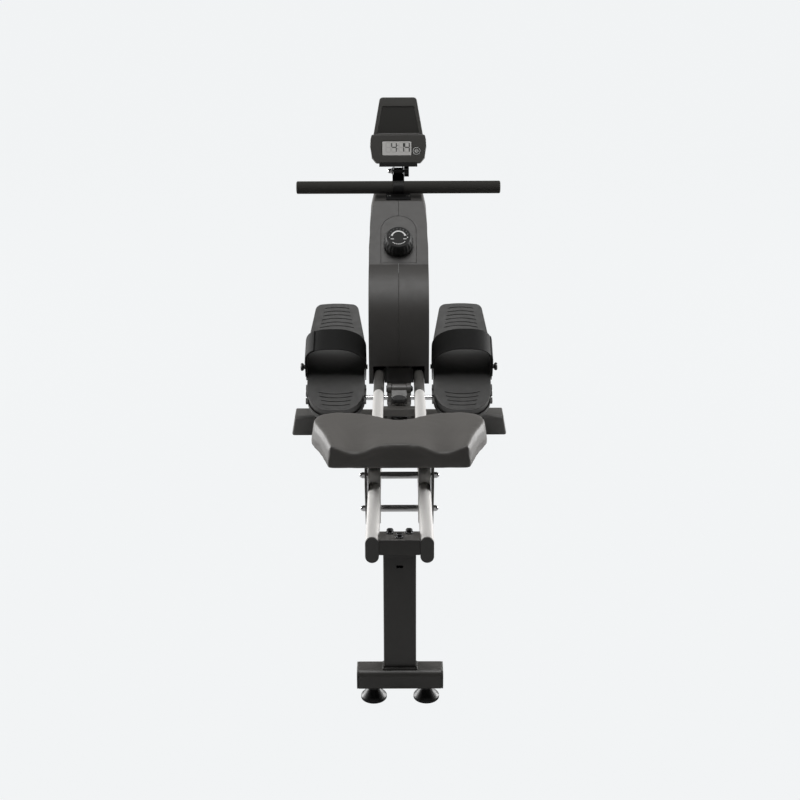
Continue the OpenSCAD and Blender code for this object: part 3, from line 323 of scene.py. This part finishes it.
# The end caps of the rails and the foot tube, and the crossbar's bolts.
# The caps are pushed into the tube ends, and the bolts have wide flanged hexagon heads.
cap_plastic = Finish("cap_plastic", (0.115, 0.113, 0.108), 0.45)
cap_plastic.unevenly_rough(45, 0.4, 0.12)
cap_plastic.grained(1500, 0.00008, 0.4)
soft_edged("rear_end_caps", "rail_section", cap_plastic, 0.0012)
black_bolt = Finish("black_bolt", (0.02, 0.02, 0.021), 0.3, 0.4)
soft_edged("crossbar_bolts", "rail_section", black_bolt, 0.0007)

# The two folding rails and their stops.
# Flat-oval steel tube with a fine metallic silver paint, on which the seat's rollers run.
silver = Finish("rail_silver", (0.76, 0.745, 0.72), 0.34, 0.3)
silver.clouded(1800, (0.68, 0.665, 0.645), (0.84, 0.825, 0.8), detail=0.0)
silver.unevenly_rough(90, 0.28, 0.12)
silver.on("rails")
rubber = Finish("rubber", (0.02, 0.02, 0.02), 0.7)
rubber.grained(900, 0.0001, 0.4)
soft_edged("rail_stops", "rail_section", rubber, 0.001)

# The fold joint: the rails' tongue, the frame's bracket and main beam, the pin and the lock knob.
# Welded plate and tube under the frame's coat, with a black pin, and a rubber knob that is pulled to
# unlock the rails. The axles of the footplates, the seat and the drive are bright steel.
soft_edged("fold_tongue", "rail_section", coat, 0.0008)
for node, radius in {"fold_bracket": 0.0007, "front_crossbar": 0.001, "main_frame": 0.001}.items():
    soft_edged(node, "frame", coat, radius)
coat.on("rail_stubs")
bright = Finish("bright_steel", (0.78, 0.78, 0.79), 0.16, 1.0)
bright.unevenly_rough(250, 0.11, 0.1)
bright.on("shafts", "seat_axles", "pedal_axle")
soft_edged("fold_pin", "frame", black_bolt, 0.0005)
soft_edged("lock_knob", "lock_knob", rubber, 0.0008)

# The carriage under the seat.
# Two pressed side plates and a base plate under the frame's coat, on three bright axles with domed nuts.
# Three pairs of pale nylon rollers run on the rails, two above them and one below.
for node, radius in {"seat_plates": 0.0006, "seat_base": 0.001}.items():
    soft_edged(node, "seat_carriage", coat, radius)
nylon = Finish("roller_nylon", (0.82, 0.81, 0.78), 0.4)
nylon.unevenly_rough(120, 0.34, 0.15)
nylon.on("rollers_upper_rear", "rollers_upper_front", "rollers_lower")

# The seat cushion.
# Moulded foam under stretched matt vinyl: two hollows, a raised middle, and a notch at the front.
# The foam swells under its cover by a cloth simulation, and stays flat where it rests on the base plate.
vinyl = Finish("seat_vinyl", (0.105, 0.1, 0.094), 0.5)
vinyl.clouded(14, (0.098, 0.093, 0.087), (0.114, 0.109, 0.102))
vinyl.unevenly_rough(700, 0.44, 0.2)
vinyl.grained(1100, 0.00016, 0.55, detail=3.0)
rails_end = (0, -0.7565, 0.329)
rails_slope = math.radians(-5)
on_rails = Matrix.Translation(rails_end) @ Matrix.Rotation(rails_slope, 4, "X")
cushion_floor = 0.0463
cushion_rear = 0.226
swelling_cap = 0.0012
swelling_force = 4
swelling_frames = 20
voxel = 0.0029
# The cushion's outlines at its foot and at its brim, and its forms, in millimetres
cushion_foot = [(0, 11), (100, 11), (138, 14), (143, 26), (160, 95), (178, 150), (183, 182), (177, 212),
                (158, 232), (128, 242), (95, 244), (66, 235), (44, 215), (22, 193), (0, 185)]
cushion_brim = [(0, 12), (97, 12), (132, 15), (137, 27), (153, 95), (170, 150), (175, 180), (169, 208),
                (151, 227), (123, 238), (94, 240), (65, 230), (43, 210), (21, 187), (0, 179)]
cushion_length = 240
cushion_thickness = 50
hollow_middle, hollow_reach, hollow_depth = 87, 37, 18
hollow_fade = 0.85
nose_start, nose_drop = 0.6, 2.5


def smooth_ring(half, steps=6):
    """A closed smooth outline through the points of one half and their mirror images."""
    loop = [Vector(point) for point in half + [(-x, y) for x, y in half[-2:0:-1]]]
    ring = []
    for k, here in enumerate(loop):
        before, after, beyond = loop[k - 1], loop[(k + 1) % len(loop)], loop[(k + 2) % len(loop)]
        for step in range(steps):
            t = step / steps
            ring.append(0.5 * (2 * here + (after - before) * t
                               + (2 * before - 5 * here + 4 * after - beyond) * t * t
                               + (3 * here - before - 3 * after + beyond) * t ** 3))
    return ring


def cushion_height(place):
    """The height of the cushion's top: two hollows at the back, between its raised middle and its sides."""
    along = place.y / cushion_length
    hollow = math.exp(-(abs(abs(place.x) - hollow_middle) / hollow_reach) ** 2.3)
    return (cushion_thickness - hollow_depth * hollow * (1 - hollow_fade * along)
            - nose_drop * max(0, along - nose_start) ** 2)


foot_ring, brim_ring = smooth_ring(cushion_foot), smooth_ring(cushion_brim)
cushion_middle = Vector((0, 110))
# The rings of the wall, each with its share of the height and its inset, and the rings of the top
wall_rings = ((0, 2.5), (0.02, 0.6), (0.07, 0), (0.3, 0), (0.6, 0), (0.93, 0), (0.98, 0.6), (1, 2.5))
top_rings = (0.95, 0.88, 0.78, 0.66, 0.52, 0.38, 0.24, 0.1)
skin = []
for share, inset in wall_rings:
    for foot, brim in zip(foot_ring, brim_ring):
        place = foot.lerp(brim, share)
        place = place + (cushion_middle - place).normalized() * inset
        skin.append((*place, share * cushion_height(place)))
for share in top_rings:
    for brim in brim_ring:
        place = cushion_middle.lerp(brim, share)
        skin.append((*place, cushion_height(place)))
round_count = len(foot_ring)
cushion_faces = [list(range(round_count))[::-1], list(range(len(skin) - round_count, len(skin)))]
for first in range(0, len(skin) - round_count, round_count):
    for k in range(round_count):
        after = (k + 1) % round_count
        cushion_faces.append((first + k, first + after, first + round_count + after, first + round_count + k))
cushion_points = [on_rails @ Vector((x / 1000, cushion_rear + y / 1000, cushion_floor + z / 1000))
                  for x, y, z in skin]
cushion_mesh = bpy.data.meshes.new("cushion")
cushion_mesh.from_pydata(cushion_points, [], cushion_faces)
cushion = bpy.data.objects.new("cushion", cushion_mesh)
bpy.context.scene.collection.objects.link(cushion)
modified(cushion, "REMESH", mode="VOXEL", voxel_size=voxel)
modified(cushion, "SMOOTH", factor=0.5, iterations=8)
still = [vertex.co.copy() for vertex in cushion.data.vertices]
cloth = cushion.modifiers.new("swelling", "CLOTH")
cloth.settings.use_pressure = True
cloth.settings.uniform_pressure_force = swelling_force
cloth.settings.effector_weights.gravity = 0
for moment in range(1, swelling_frames + 1):
    bpy.context.scene.frame_set(moment)
on_top(cushion)
bpy.ops.object.modifier_apply(modifier=cloth.name)
for vertex, before in zip(cushion.data.vertices, still):
    swelling = vertex.co - before
    if swelling.length > swelling_cap:
        vertex.co = before + swelling.normalized() * swelling_cap
bpy.context.scene.frame_set(1)
from_rails = on_rails.inverted()
for vertex in cushion.data.vertices:
    local = from_rails @ vertex.co
    local.z = max(local.z, cushion_floor)
    vertex.co = on_rails @ local
modified(cushion, "SMOOTH", factor=0.5, iterations=6)
finished(cushion, "seat_cushion", "seat_carriage", vinyl, "seat_pad", smooth=80)

# The footplates, on their axle under the rails.
# Ribbed mouldings with a heel cup: curved grooves at the toe and the heel, and a smooth middle.
pedal_plastic = Finish("pedal_plastic", (0.05, 0.049, 0.047), 0.5)
pedal_plastic.clouded(16, (0.043, 0.042, 0.04), (0.054, 0.053, 0.05))
pedal_plastic.unevenly_rough(80, 0.42, 0.14)
pedal_plastic.grained(1600, 0.00008, 0.45)
for side in ("left", "right"):
    soft_edged("pedal_" + side, "pedal_" + side, pedal_plastic, 0.0006)

# The foot straps.
# Woven nylon webbing that arches over the toes from a stud on each side, squarer over its outer side, where
# a second layer laps over the first. A moulded knob on the outer stud holds it.
warp_pitch, weft_pitch = 3200, 2200
webbing = Finish("webbing", (0.01, 0.01, 0.01), 0.7, Specular_IOR_Level=0.25)
run_map = webbing.node("ShaderNodeUVMap", {"uv_map": "run"}, ())
weave = (webbing.axis("X", run_map) * warp_pitch).sine() * (webbing.axis("Y", run_map) * weft_pitch).sine()
webbing.set("Base Color", webbing.mix(weave * 0.5 + 0.5, (0.005, 0.005, 0.005), (0.0105, 0.0105, 0.01)))
webbing.bump(weave, 0.00012, 0.6)


def band(name, line, across, width, thickness, rows=8):
    """A strap: a line of points swept across its width, with its own map in metres, then given thickness."""
    count = len(line)
    points = [point + across * width * (row / rows - 0.5) for row in range(rows + 1) for point in line]
    faces = [(row * count + k, row * count + k + 1, (row + 1) * count + k + 1, (row + 1) * count + k)
             for row in range(rows) for k in range(count - 1)]
    mesh = bpy.data.meshes.new(name)
    mesh.from_pydata(points, [], faces)
    reach = [0.0]
    for before, after in zip(line, line[1:]):
        reach.append(reach[-1] + (after - before).length)
    run = mesh.uv_layers.new(name="run")
    for loop in mesh.loops:
        row, k = divmod(loop.vertex_index, count)
        run.data[loop.index].uv = (reach[k], row / rows * width)
    piece = bpy.data.objects.new(name, mesh)
    bpy.context.scene.collection.objects.link(piece)
    modified(piece, "SOLIDIFY", thickness=thickness, offset=0)
    return modified(piece, "BEVEL", width=thickness * 0.3, segments=2, limit_method="ANGLE",
                    angle_limit=math.radians(60), use_clamp_overlap=False)


pedal_half = 0.073
strap_clearance = 0.0017
strap_half = pedal_half + strap_clearance
strap_foot, strap_leg, strap_rise = -0.0115, 0.038, 0.096
strap_width, strap_thickness = 0.074, 0.0024
lap_width, lap_thickness, lap_lift = 0.072, 0.0016, 0.0021
lap_end = {"left": 56, "right": 26}
outer_squareness, inner_squareness = 0.62, 0.95
arch_steps, leg_steps = 48, 8
pedal_pitch = Matrix.Rotation(math.radians(46), 4, "X")
pedal_axle = Vector((0, 0.343611, 0.167504))
pedal_spacing = 0.159
strap_anchor = Matrix.Translation((0, 0.084, 0.003)) @ Matrix.Rotation(math.radians(-22), 4, "X")


def strap_arch(turn, lift=0.0):
    """A point of the strap's arch, at a turn in degrees from its outer side."""
    square = outer_squareness if turn < 90 else inner_squareness
    across, up = math.cos(math.radians(turn)), math.sin(math.radians(turn))
    return Vector(((strap_half + lift) * math.copysign(abs(across) ** square, across), 0,
                   strap_leg + (strap_rise + lift - strap_leg) * abs(up) ** square))


leg_heights = [strap_foot + (strap_leg - strap_foot) * k / leg_steps for k in range(leg_steps)]
strap_line = [Vector((strap_half, 0, height)) for height in leg_heights]
strap_line += [strap_arch(180 * k / arch_steps) for k in range(arch_steps + 1)]
strap_line += [Vector((-strap_half, 0, height)) for height in leg_heights[::-1]]
footward = Vector((0, 1, 0))
for side, way in (("left", -1), ("right", 1)):
    mirrored = Matrix.Diagonal((way, 1, 1, 1))
    at_strap = Matrix.Translation(pedal_axle + Vector((way * pedal_spacing, 0, 0))) @ pedal_pitch @ strap_anchor
    line = [mirrored @ point for point in strap_line]
    strap = band("strap_band_" + side, line, footward, strap_width, strap_thickness)
    strap.matrix_world = at_strap
    finished(strap, "foot_strap_band_" + side, "pedal_" + side, webbing, "foot_strap_" + side, smooth=50)
    lap_line = [Vector((strap_half + lap_lift, 0, strap_leg * k / 5)) for k in range(5)]
    lap_line += [strap_arch(turn, lap_lift) for turn in range(0, lap_end[side] + 1, 4)]
    line = [mirrored @ point for point in lap_line]
    lap = band("strap_lap_" + side, line, footward, lap_width, lap_thickness)
    lap.matrix_world = at_strap
    finished(lap, "foot_strap_lap_" + side, "pedal_" + side, webbing, smooth=50)
    soft_edged("strap_knob_" + side, "strap_knob_" + side, plastic, 0.0005)

# The front stabiliser with its end caps and transport wheels.
# A steel tube under the frame's coat, in moulded caps with widely rounded ends, and two wheels for tipping
# the folded machine over and rolling it away.
cap_end, cap_bevel = 0.2775, 0.006


def widely_bevelled(piece, width, test):
    """Gives the edges whose corners all pass a test a wide round bevel."""
    on_top(piece)
    bpy.ops.object.mode_set(mode="EDIT")
    bpy.ops.mesh.select_mode(type="EDGE")
    bpy.ops.mesh.select_all(action="DESELECT")
    bpy.ops.object.mode_set(mode="OBJECT")
    for edge in piece.data.edges:
        edge.select = all(test(piece.data.vertices[corner].co) for corner in edge.vertices)
    bpy.ops.object.mode_set(mode="EDIT")
    bpy.ops.mesh.bevel(offset=width, segments=4, affect="EDGES", clamp_overlap=True)
    bpy.ops.object.mode_set(mode="OBJECT")
    return piece


soft_edged("front_stabiliser", "frame", coat, 0.0006)
caps = widely_bevelled(copied("stabiliser_caps"), cap_bevel, lambda place: abs(place.x) > cap_end)
rounded_over(caps, 0.0012, 2, 60)
finished(caps, "stabiliser_caps_formed", "frame", cap_plastic, "stabiliser_caps")
for side in ("left", "right"):
    soft_edged("transport_wheel_" + side, "transport_wheel_" + side, plastic, 0.0008)

# The housing, in two halves that meet in the middle.
# Moulded grey-black plastic with a fine spark texture, softly rounded at its shoulders and rear corners.
shell = Finish("housing_plastic", (0.065, 0.062, 0.058), 0.52)
shell.clouded(7, (0.06, 0.057, 0.054), (0.071, 0.068, 0.064))
shell.unevenly_rough(60, 0.44, 0.12)
shell.grained(1400, 0.00009, 0.45)
housing_side, shoulder_bevel = 0.0738, 0.005
for side in ("left", "right"):
    half = widely_bevelled(copied("housing_" + side), shoulder_bevel, lambda place: abs(place.x) > housing_side)
    rounded_over(half, 0.0006)
    finished(half, "housing_%s_formed" % side, "frame", shell, "housing_" + side)

# The control panel in the sloping face, and the tension knob.
# The arched panel is let in with a fine groove. The knob is a fluted moulding with a wider head, and its
# flat top carries printed marks and numbers.
soft_edged("knob_panel", "frame", shell, 0.0005)
knob_plastic = Finish("knob_plastic", (0.017, 0.017, 0.0165), 0.55, Specular_IOR_Level=0.2)
knob_plastic.grained(1500, 0.00008, 0.4)
face_tilt = math.radians(40.6)
at_face = Matrix.Translation((0, 0.5375, 0.512003)) @ Matrix.Rotation(face_tilt, 4, "X")
to_face = at_face.inverted()
knob_core = 0.02
head_start, head_overhang = 0.02, 0.003
flute_count, flute_depth, flute_end = 24, 0.0014, 0.033
knob = copied("tension_knob")
for vertex in knob.data.vertices:
    spot = to_face @ vertex.co
    reach = math.hypot(spot.x, spot.y)
    if reach > knob_core:
        flute = flute_depth / 2 * (1 + math.cos(flute_count * math.atan2(spot.y, spot.x)))
        outward = head_overhang * (spot.z > head_start) - flute * (spot.z < flute_end)
        wider = 1 + outward / reach
        vertex.co = at_face @ Vector((spot.x * wider, spot.y * wider, spot.z))
rounded_over(knob, 0.0004, 2, 50)
finished(knob, "tension_knob_formed", "tension_knob", knob_plastic, "tension_knob", smooth=20)
white_print = Finish("knob_print", (0.85, 0.85, 0.84), 0.5)
grey_print = Finish("knob_scale_print", (0.2, 0.2, 0.2), 0.5)


def cut_plate(outline, thickness=0.0002, level=0.0):
    """A thin plate or print: a ring of vertices, moved onto the given outline and given thickness."""
    deselect()
    bpy.ops.mesh.primitive_circle_add(vertices=len(outline), fill_type="NGON")
    plate = bpy.context.object
    for vertex, (x, y) in zip(plate.data.vertices, outline):
        vertex.co = (x, y, level)
    modified(plate, "SOLIDIFY", thickness=thickness, offset=0)
    on_top(plate)
    bpy.ops.object.mode_set(mode="EDIT")
    bpy.ops.mesh.select_all(action="SELECT")
    bpy.ops.mesh.normals_make_consistent(inside=False)
    bpy.ops.object.mode_set(mode="OBJECT")
    return plate


def joined(parts):
    """Several meshes made one piece."""
    on_top(parts[0])
    for part in parts:
        part.select_set(True)
    if len(parts) > 1:
        bpy.ops.object.join()
    return parts[0]


def on_arc(radius, degrees, cx=0.0, cy=0.0):
    """A point at a turn in degrees on a circle."""
    turn = math.radians(degrees)
    return (cx + radius * math.cos(turn), cy + radius * math.sin(turn))


def dot(radius, cx, cy):
    """The eight-sided outline of a small dot."""
    return [on_arc(radius, k * 45, cx, cy) for k in range(8)]


def strip(half_length, half_width, cx=0.0, cy=0.0):
    """The outline of a short straight stroke."""
    return [(cx + x * half_length, cy + y * half_width) for x, y in ((-1, -1), (1, -1), (1, 1), (-1, 1))]


def arc_print(radius, width, first, last, steps, level, flare=0.0):
    """A printed arc, which flares at its two ends."""
    turns = [first + (last - first) * k / steps for k in range(steps + 1)]
    wide = [width / 2 + flare * max(0, abs(2 * k / steps - 1) - 0.8) * 5 for k in range(steps + 1)]
    outline = [on_arc(radius + w, turn) for turn, w in zip(turns, wide)]
    outline += [on_arc(radius - w, turn) for turn, w in reversed(list(zip(turns, wide)))]
    return cut_plate(outline, level=level)


def figure(words, height, x, y, level, turn=0.0):
    """A printed number, made a mesh at once."""
    deselect()
    bpy.ops.object.text_add(location=(x, y, level), rotation=(0, 0, turn))
    letters = bpy.context.object
    letters.data.body = words
    letters.data.size = height
    letters.data.align_x = "CENTER"
    letters.data.align_y = "CENTER"
    letters.data.extrude = 0.0001
    bpy.ops.object.convert(target="MESH")
    bpy.ops.object.transform_apply(location=True, rotation=True, scale=True)
    return letters


knob_top, print_lift = 0.0363, 0.00005
print_level = knob_top + print_lift
print_scale = 1.12
at_print = at_face @ Matrix.Diagonal((print_scale, print_scale, 1, 1))
arrow_radius, arrow_width, arrow_head = 0.0155, 0.0029, 0.0012
end_dot_radius, end_dot_circle = 0.0012, 0.0205
dash_circle, dash_width = 0.0195, 0.0019
sign_place, sign_level = 0.0145, -0.0055
number_circle, number_height = 0.0218, 0.0052
marks = [arc_print(arrow_radius, arrow_width, 12, 168, 24, print_level, arrow_head)]
for turn in (184, 356):
    marks.append(cut_plate(dot(end_dot_radius, *on_arc(end_dot_circle, turn)), level=print_level))
for turn in range(228, 318, 12):
    marks.append(arc_print(dash_circle, dash_width, turn, turn + 8, 2, print_level))
for way in (-1, 1):
    marks.append(cut_plate(strip(0.0035, 0.0009, way * sign_place, sign_level), level=print_level))
knob_marks = joined(marks)
knob_marks.matrix_world = at_print
finished(knob_marks, "knob_marks", "tension_knob", white_print, smooth=0)
numbers = []
for step in range(8):
    turn = 160 - 20 * step
    x, y = on_arc(number_circle, turn)
    numbers.append(figure(str(step + 1), number_height, x, y, print_level, math.radians(turn - 90)))
knob_numbers = joined(numbers)
knob_numbers.matrix_world = at_print
finished(knob_numbers, "knob_numbers", "tension_knob", grey_print, smooth=0)

# The drive inside the housing.
# A cast flywheel, a belt drive, a strap reel with its recoil spring and the magnets that brake the flywheel.
iron = Finish("cast_iron", (0.3, 0.3, 0.3), 0.4, 1.0)
iron.unevenly_rough(220, 0.28, 0.3, detail=3.0)
iron.grained(260, 0.0003, 0.4, detail=3.0)
iron.on("flywheel", "magnet_arm", "recoil_spring_drum")
coat.on("frame_plates")
plastic.on("drive_pulley", "strap_reel", "guide_roller")
rubber.on("drive_belt")

# The head bracket on the housing's top, with its screws.
# Pressed steel in a deeper black than the frame's, which carries the strap's roller and the display's joint.
bracket_black = Finish("bracket_black", (0.012, 0.012, 0.012), 0.45, Specular_IOR_Level=0.3)
bracket_black.grained(700, 0.0001, 0.35)
soft_edged("head_bracket", "frame", bracket_black, 0.0005)
soft_edged("head_screws", "frame", iron, 0.0004)

# The display, its bracket and its clamp.
# A case in two moulded parts with wide round corners below and a phone rest above, on a steel bracket that a
# bolt with a lobed knob clamps.
display_plastic = Finish("display_plastic", (0.062, 0.06, 0.055), 0.45)
display_plastic.unevenly_rough(70, 0.36, 0.12)
display_plastic.grained(1500, 0.00007, 0.4)
back_plastic = Finish("back_plastic", (0.13, 0.128, 0.124), 0.45)
back_plastic.grained(1500, 0.00008, 0.4)
soft_edged("display_bracket", "display", bracket_black, 0.0004, 2, 60)
upright = Matrix.Rotation(math.radians(90), 4, "X")
display_lean = Matrix.Rotation(math.radians(-20), 4, "X")
at_display = Matrix.Translation((0, 0.7125, 0.664)) @ display_lean @ upright
to_display = at_display.inverted()
case_waist, flare_height = 0.048, 0.029
rest_foot, rest_half, rest_top, rest_length, rest_flare = 0.085, 0.062, 0.192, 0.099, 0.077
for node, finish, radius, steps, flare in (("display_back", back_plastic, 0.003, 4, 0.3),
                                           ("display_front", display_plastic, 0.0016, 3, 0.16)):
    case = copied(node)
    for vertex in case.data.vertices:
        spot = to_display @ vertex.co
        spot.x *= 1 + flare * max(0, (case_waist - spot.y) / flare_height)
        if spot.y > rest_foot and abs(spot.x) < rest_half:
            spot.x *= 1 + rest_flare * (rest_top - spot.y) / rest_length
        vertex.co = at_display @ spot
    rounded_over(case, radius, steps)
    finished(case, node + "_formed", "display", finish, node)
soft_edged("display_button", "display_button", display_plastic, 0.0006)
bright.on("clamp_bolt")
soft_edged("clamp_knob", "clamp_knob", knob_plastic, 0.0005, 2, 50)
lcd = Finish("display_window", (0.7, 0.69, 0.67), 0.25)
lcd.on("display_lens")

# The display's figures, the dark inlay of its phone rest and the mark on its button.
# Liquid-crystal figures on the window, with their unlit segments faintly visible, a glued inlay, and a printed
# ring with a diamond.
lit_segment = Finish("lit_segments", (0.035, 0.037, 0.033), 0.3)
unlit_segment = Finish("unlit_segments", (0.57, 0.56, 0.54), 0.3)
window_level = 0.01793
segment_thickness = 0.00008
digit_high, digit_wide, stroke = 0.0245, 0.012, 0.0027
digit_level = 0.0595
# The segments that are lit in each digit, with the digit's place
digits = ((-0.026, ""), (-0.011, "bcfg"), (0.008, "bc"), (0.023, "bcfg"))
# Each segment's place in the digit, in widths and half heights, and whether it stands upright
segment_spots = {"a": (0, 1, 0), "b": (0.5, 0.5, 1), "c": (0.5, -0.5, 1), "d": (0, -1, 0), "e": (-0.5, -0.5, 1),
                 "f": (-0.5, 0.5, 1), "g": (0, 0, 0)}
lit_parts, unlit_parts = [], []
for digit_x, lit in digits:
    for letter, (across, up, standing) in segment_spots.items():
        reach = (digit_high / 4 if standing else digit_wide / 2) - stroke * 0.6
        shape = [(-reach, -stroke / 2), (reach, -stroke / 2), (reach + stroke / 2, 0), (reach, stroke / 2),
                 (-reach, stroke / 2), (-reach - stroke / 2, 0)]
        if standing:
            shape = [(-y, x) for x, y in shape]
        middle_x, middle_y = digit_x + across * digit_wide, digit_level + up * digit_high / 2
        outline = [(middle_x + x, middle_y + y) for x, y in shape]
        segment = cut_plate(outline, segment_thickness, window_level)
        (lit_parts if letter in lit else unlit_parts).append(segment)
colon_x, colon_dot = -0.0015, 0.0011
for dot_y in (0.0555, 0.0645):
    lit_parts.append(cut_plate(dot(colon_dot, colon_x, dot_y), segment_thickness, window_level))
for name, parts, finish in (("lit", lit_parts, lit_segment), ("unlit", unlit_parts, unlit_segment)):
    segments = joined(parts)
    segments.matrix_world = at_display
    finished(segments, name + "_segments", "display", finish, smooth=0)
rest_panel = Finish("rest_panel", (0.024, 0.023, 0.02), 0.38)
inlay_outline = [(-0.0538, 0.0984), (0.0538, 0.0984), (0.0414, 0.1676), (-0.0414, 0.1676)]
inlay_thickness, inlay_level = 0.0003, 0.00518
inlay = cut_plate(inlay_outline, inlay_thickness, inlay_level)
inlay.matrix_world = at_display
finished(inlay, "rest_inlay", "display", rest_panel, smooth=0)
button_place = (0.048, 0.05, 0.01905)
ring_radius, ring_width = 0.0092, 0.001
diamond_outer, diamond_inner = 0.0058, 0.0044
dash = strip(0.0022, 0.0006)
ring = arc_print(ring_radius, ring_width, 0, 359, 40, 0)
diamond = [on_arc(diamond_outer, k * 90) for k in range(5)]
diamond += [on_arc(diamond_inner, k * 90) for k in range(4, -1, -1)]
button_mark = joined([ring, cut_plate(diamond), cut_plate(dash)])
button_mark.matrix_world = at_display @ Matrix.Translation(button_place)
finished(button_mark, "button_mark", "display_button", white_print, smooth=0)

# The pull bar with its foam grips and collar.
# A steel tube in two sleeves of closed-cell foam, with a moulded collar between them that the strap runs into.
foam = Finish("grip_foam", (0.042, 0.04, 0.037), 0.85, Specular_IOR_Level=0.2)
foam.clouded(500, (0.033, 0.032, 0.029), (0.052, 0.05, 0.046))
foam.grained(900, 0.0003, 0.6, detail=3.0)
coat.on("bar_tube")
soft_edged("bar_grips", "handle", foam, 0.0012)
soft_edged("bar_collar", "handle", knob_plastic, 0.0008)

# The pull strap, from its reel up round the guide roller and out to the collar.
# Woven nylon webbing in two stretches: the one up to the roller stays in place, and the one from the roller
# to the collar grows as the bar is pulled.
pull_width, pull_thickness = 0.024, 0.0015
reel_place = Vector((0, 0.68655, 0.478))
roller_y, roller_z, roller_reach = 0.7125, 0.617, 0.00905
collar_y = 0.6966
reel_steps, roller_steps, pull_steps = 6, 8, 12
sideways = Vector((1, 0, 0))
roller_front = Vector((0, roller_y + roller_reach, roller_z))
roller_top = Vector((0, roller_y, roller_z + roller_reach))
collar_end = Vector((0, collar_y, roller_top.z))
reel_run = [reel_place.lerp(roller_front, k / reel_steps) for k in range(reel_steps)]
for k in range(roller_steps + 1):
    turn = math.pi / 2 * k / roller_steps
    forward, upward = roller_reach * math.cos(turn), roller_reach * math.sin(turn)
    reel_run.append(Vector((0, roller_y + forward, roller_z + upward)))
reel_strap = band("pull_strap_reel_run", reel_run, sideways, pull_width, pull_thickness)
finished(reel_strap, "pull_strap_reel_run", "frame", webbing, smooth=50)
pull_line = [roller_top.lerp(collar_end, k / pull_steps) for k in range(pull_steps + 1)]
pull_strap = band("pull_strap_band", pull_line, sideways, pull_width, pull_thickness)
finished(pull_strap, "pull_strap_band", None, webbing, "pull_strap", smooth=50)
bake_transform(pull_strap)
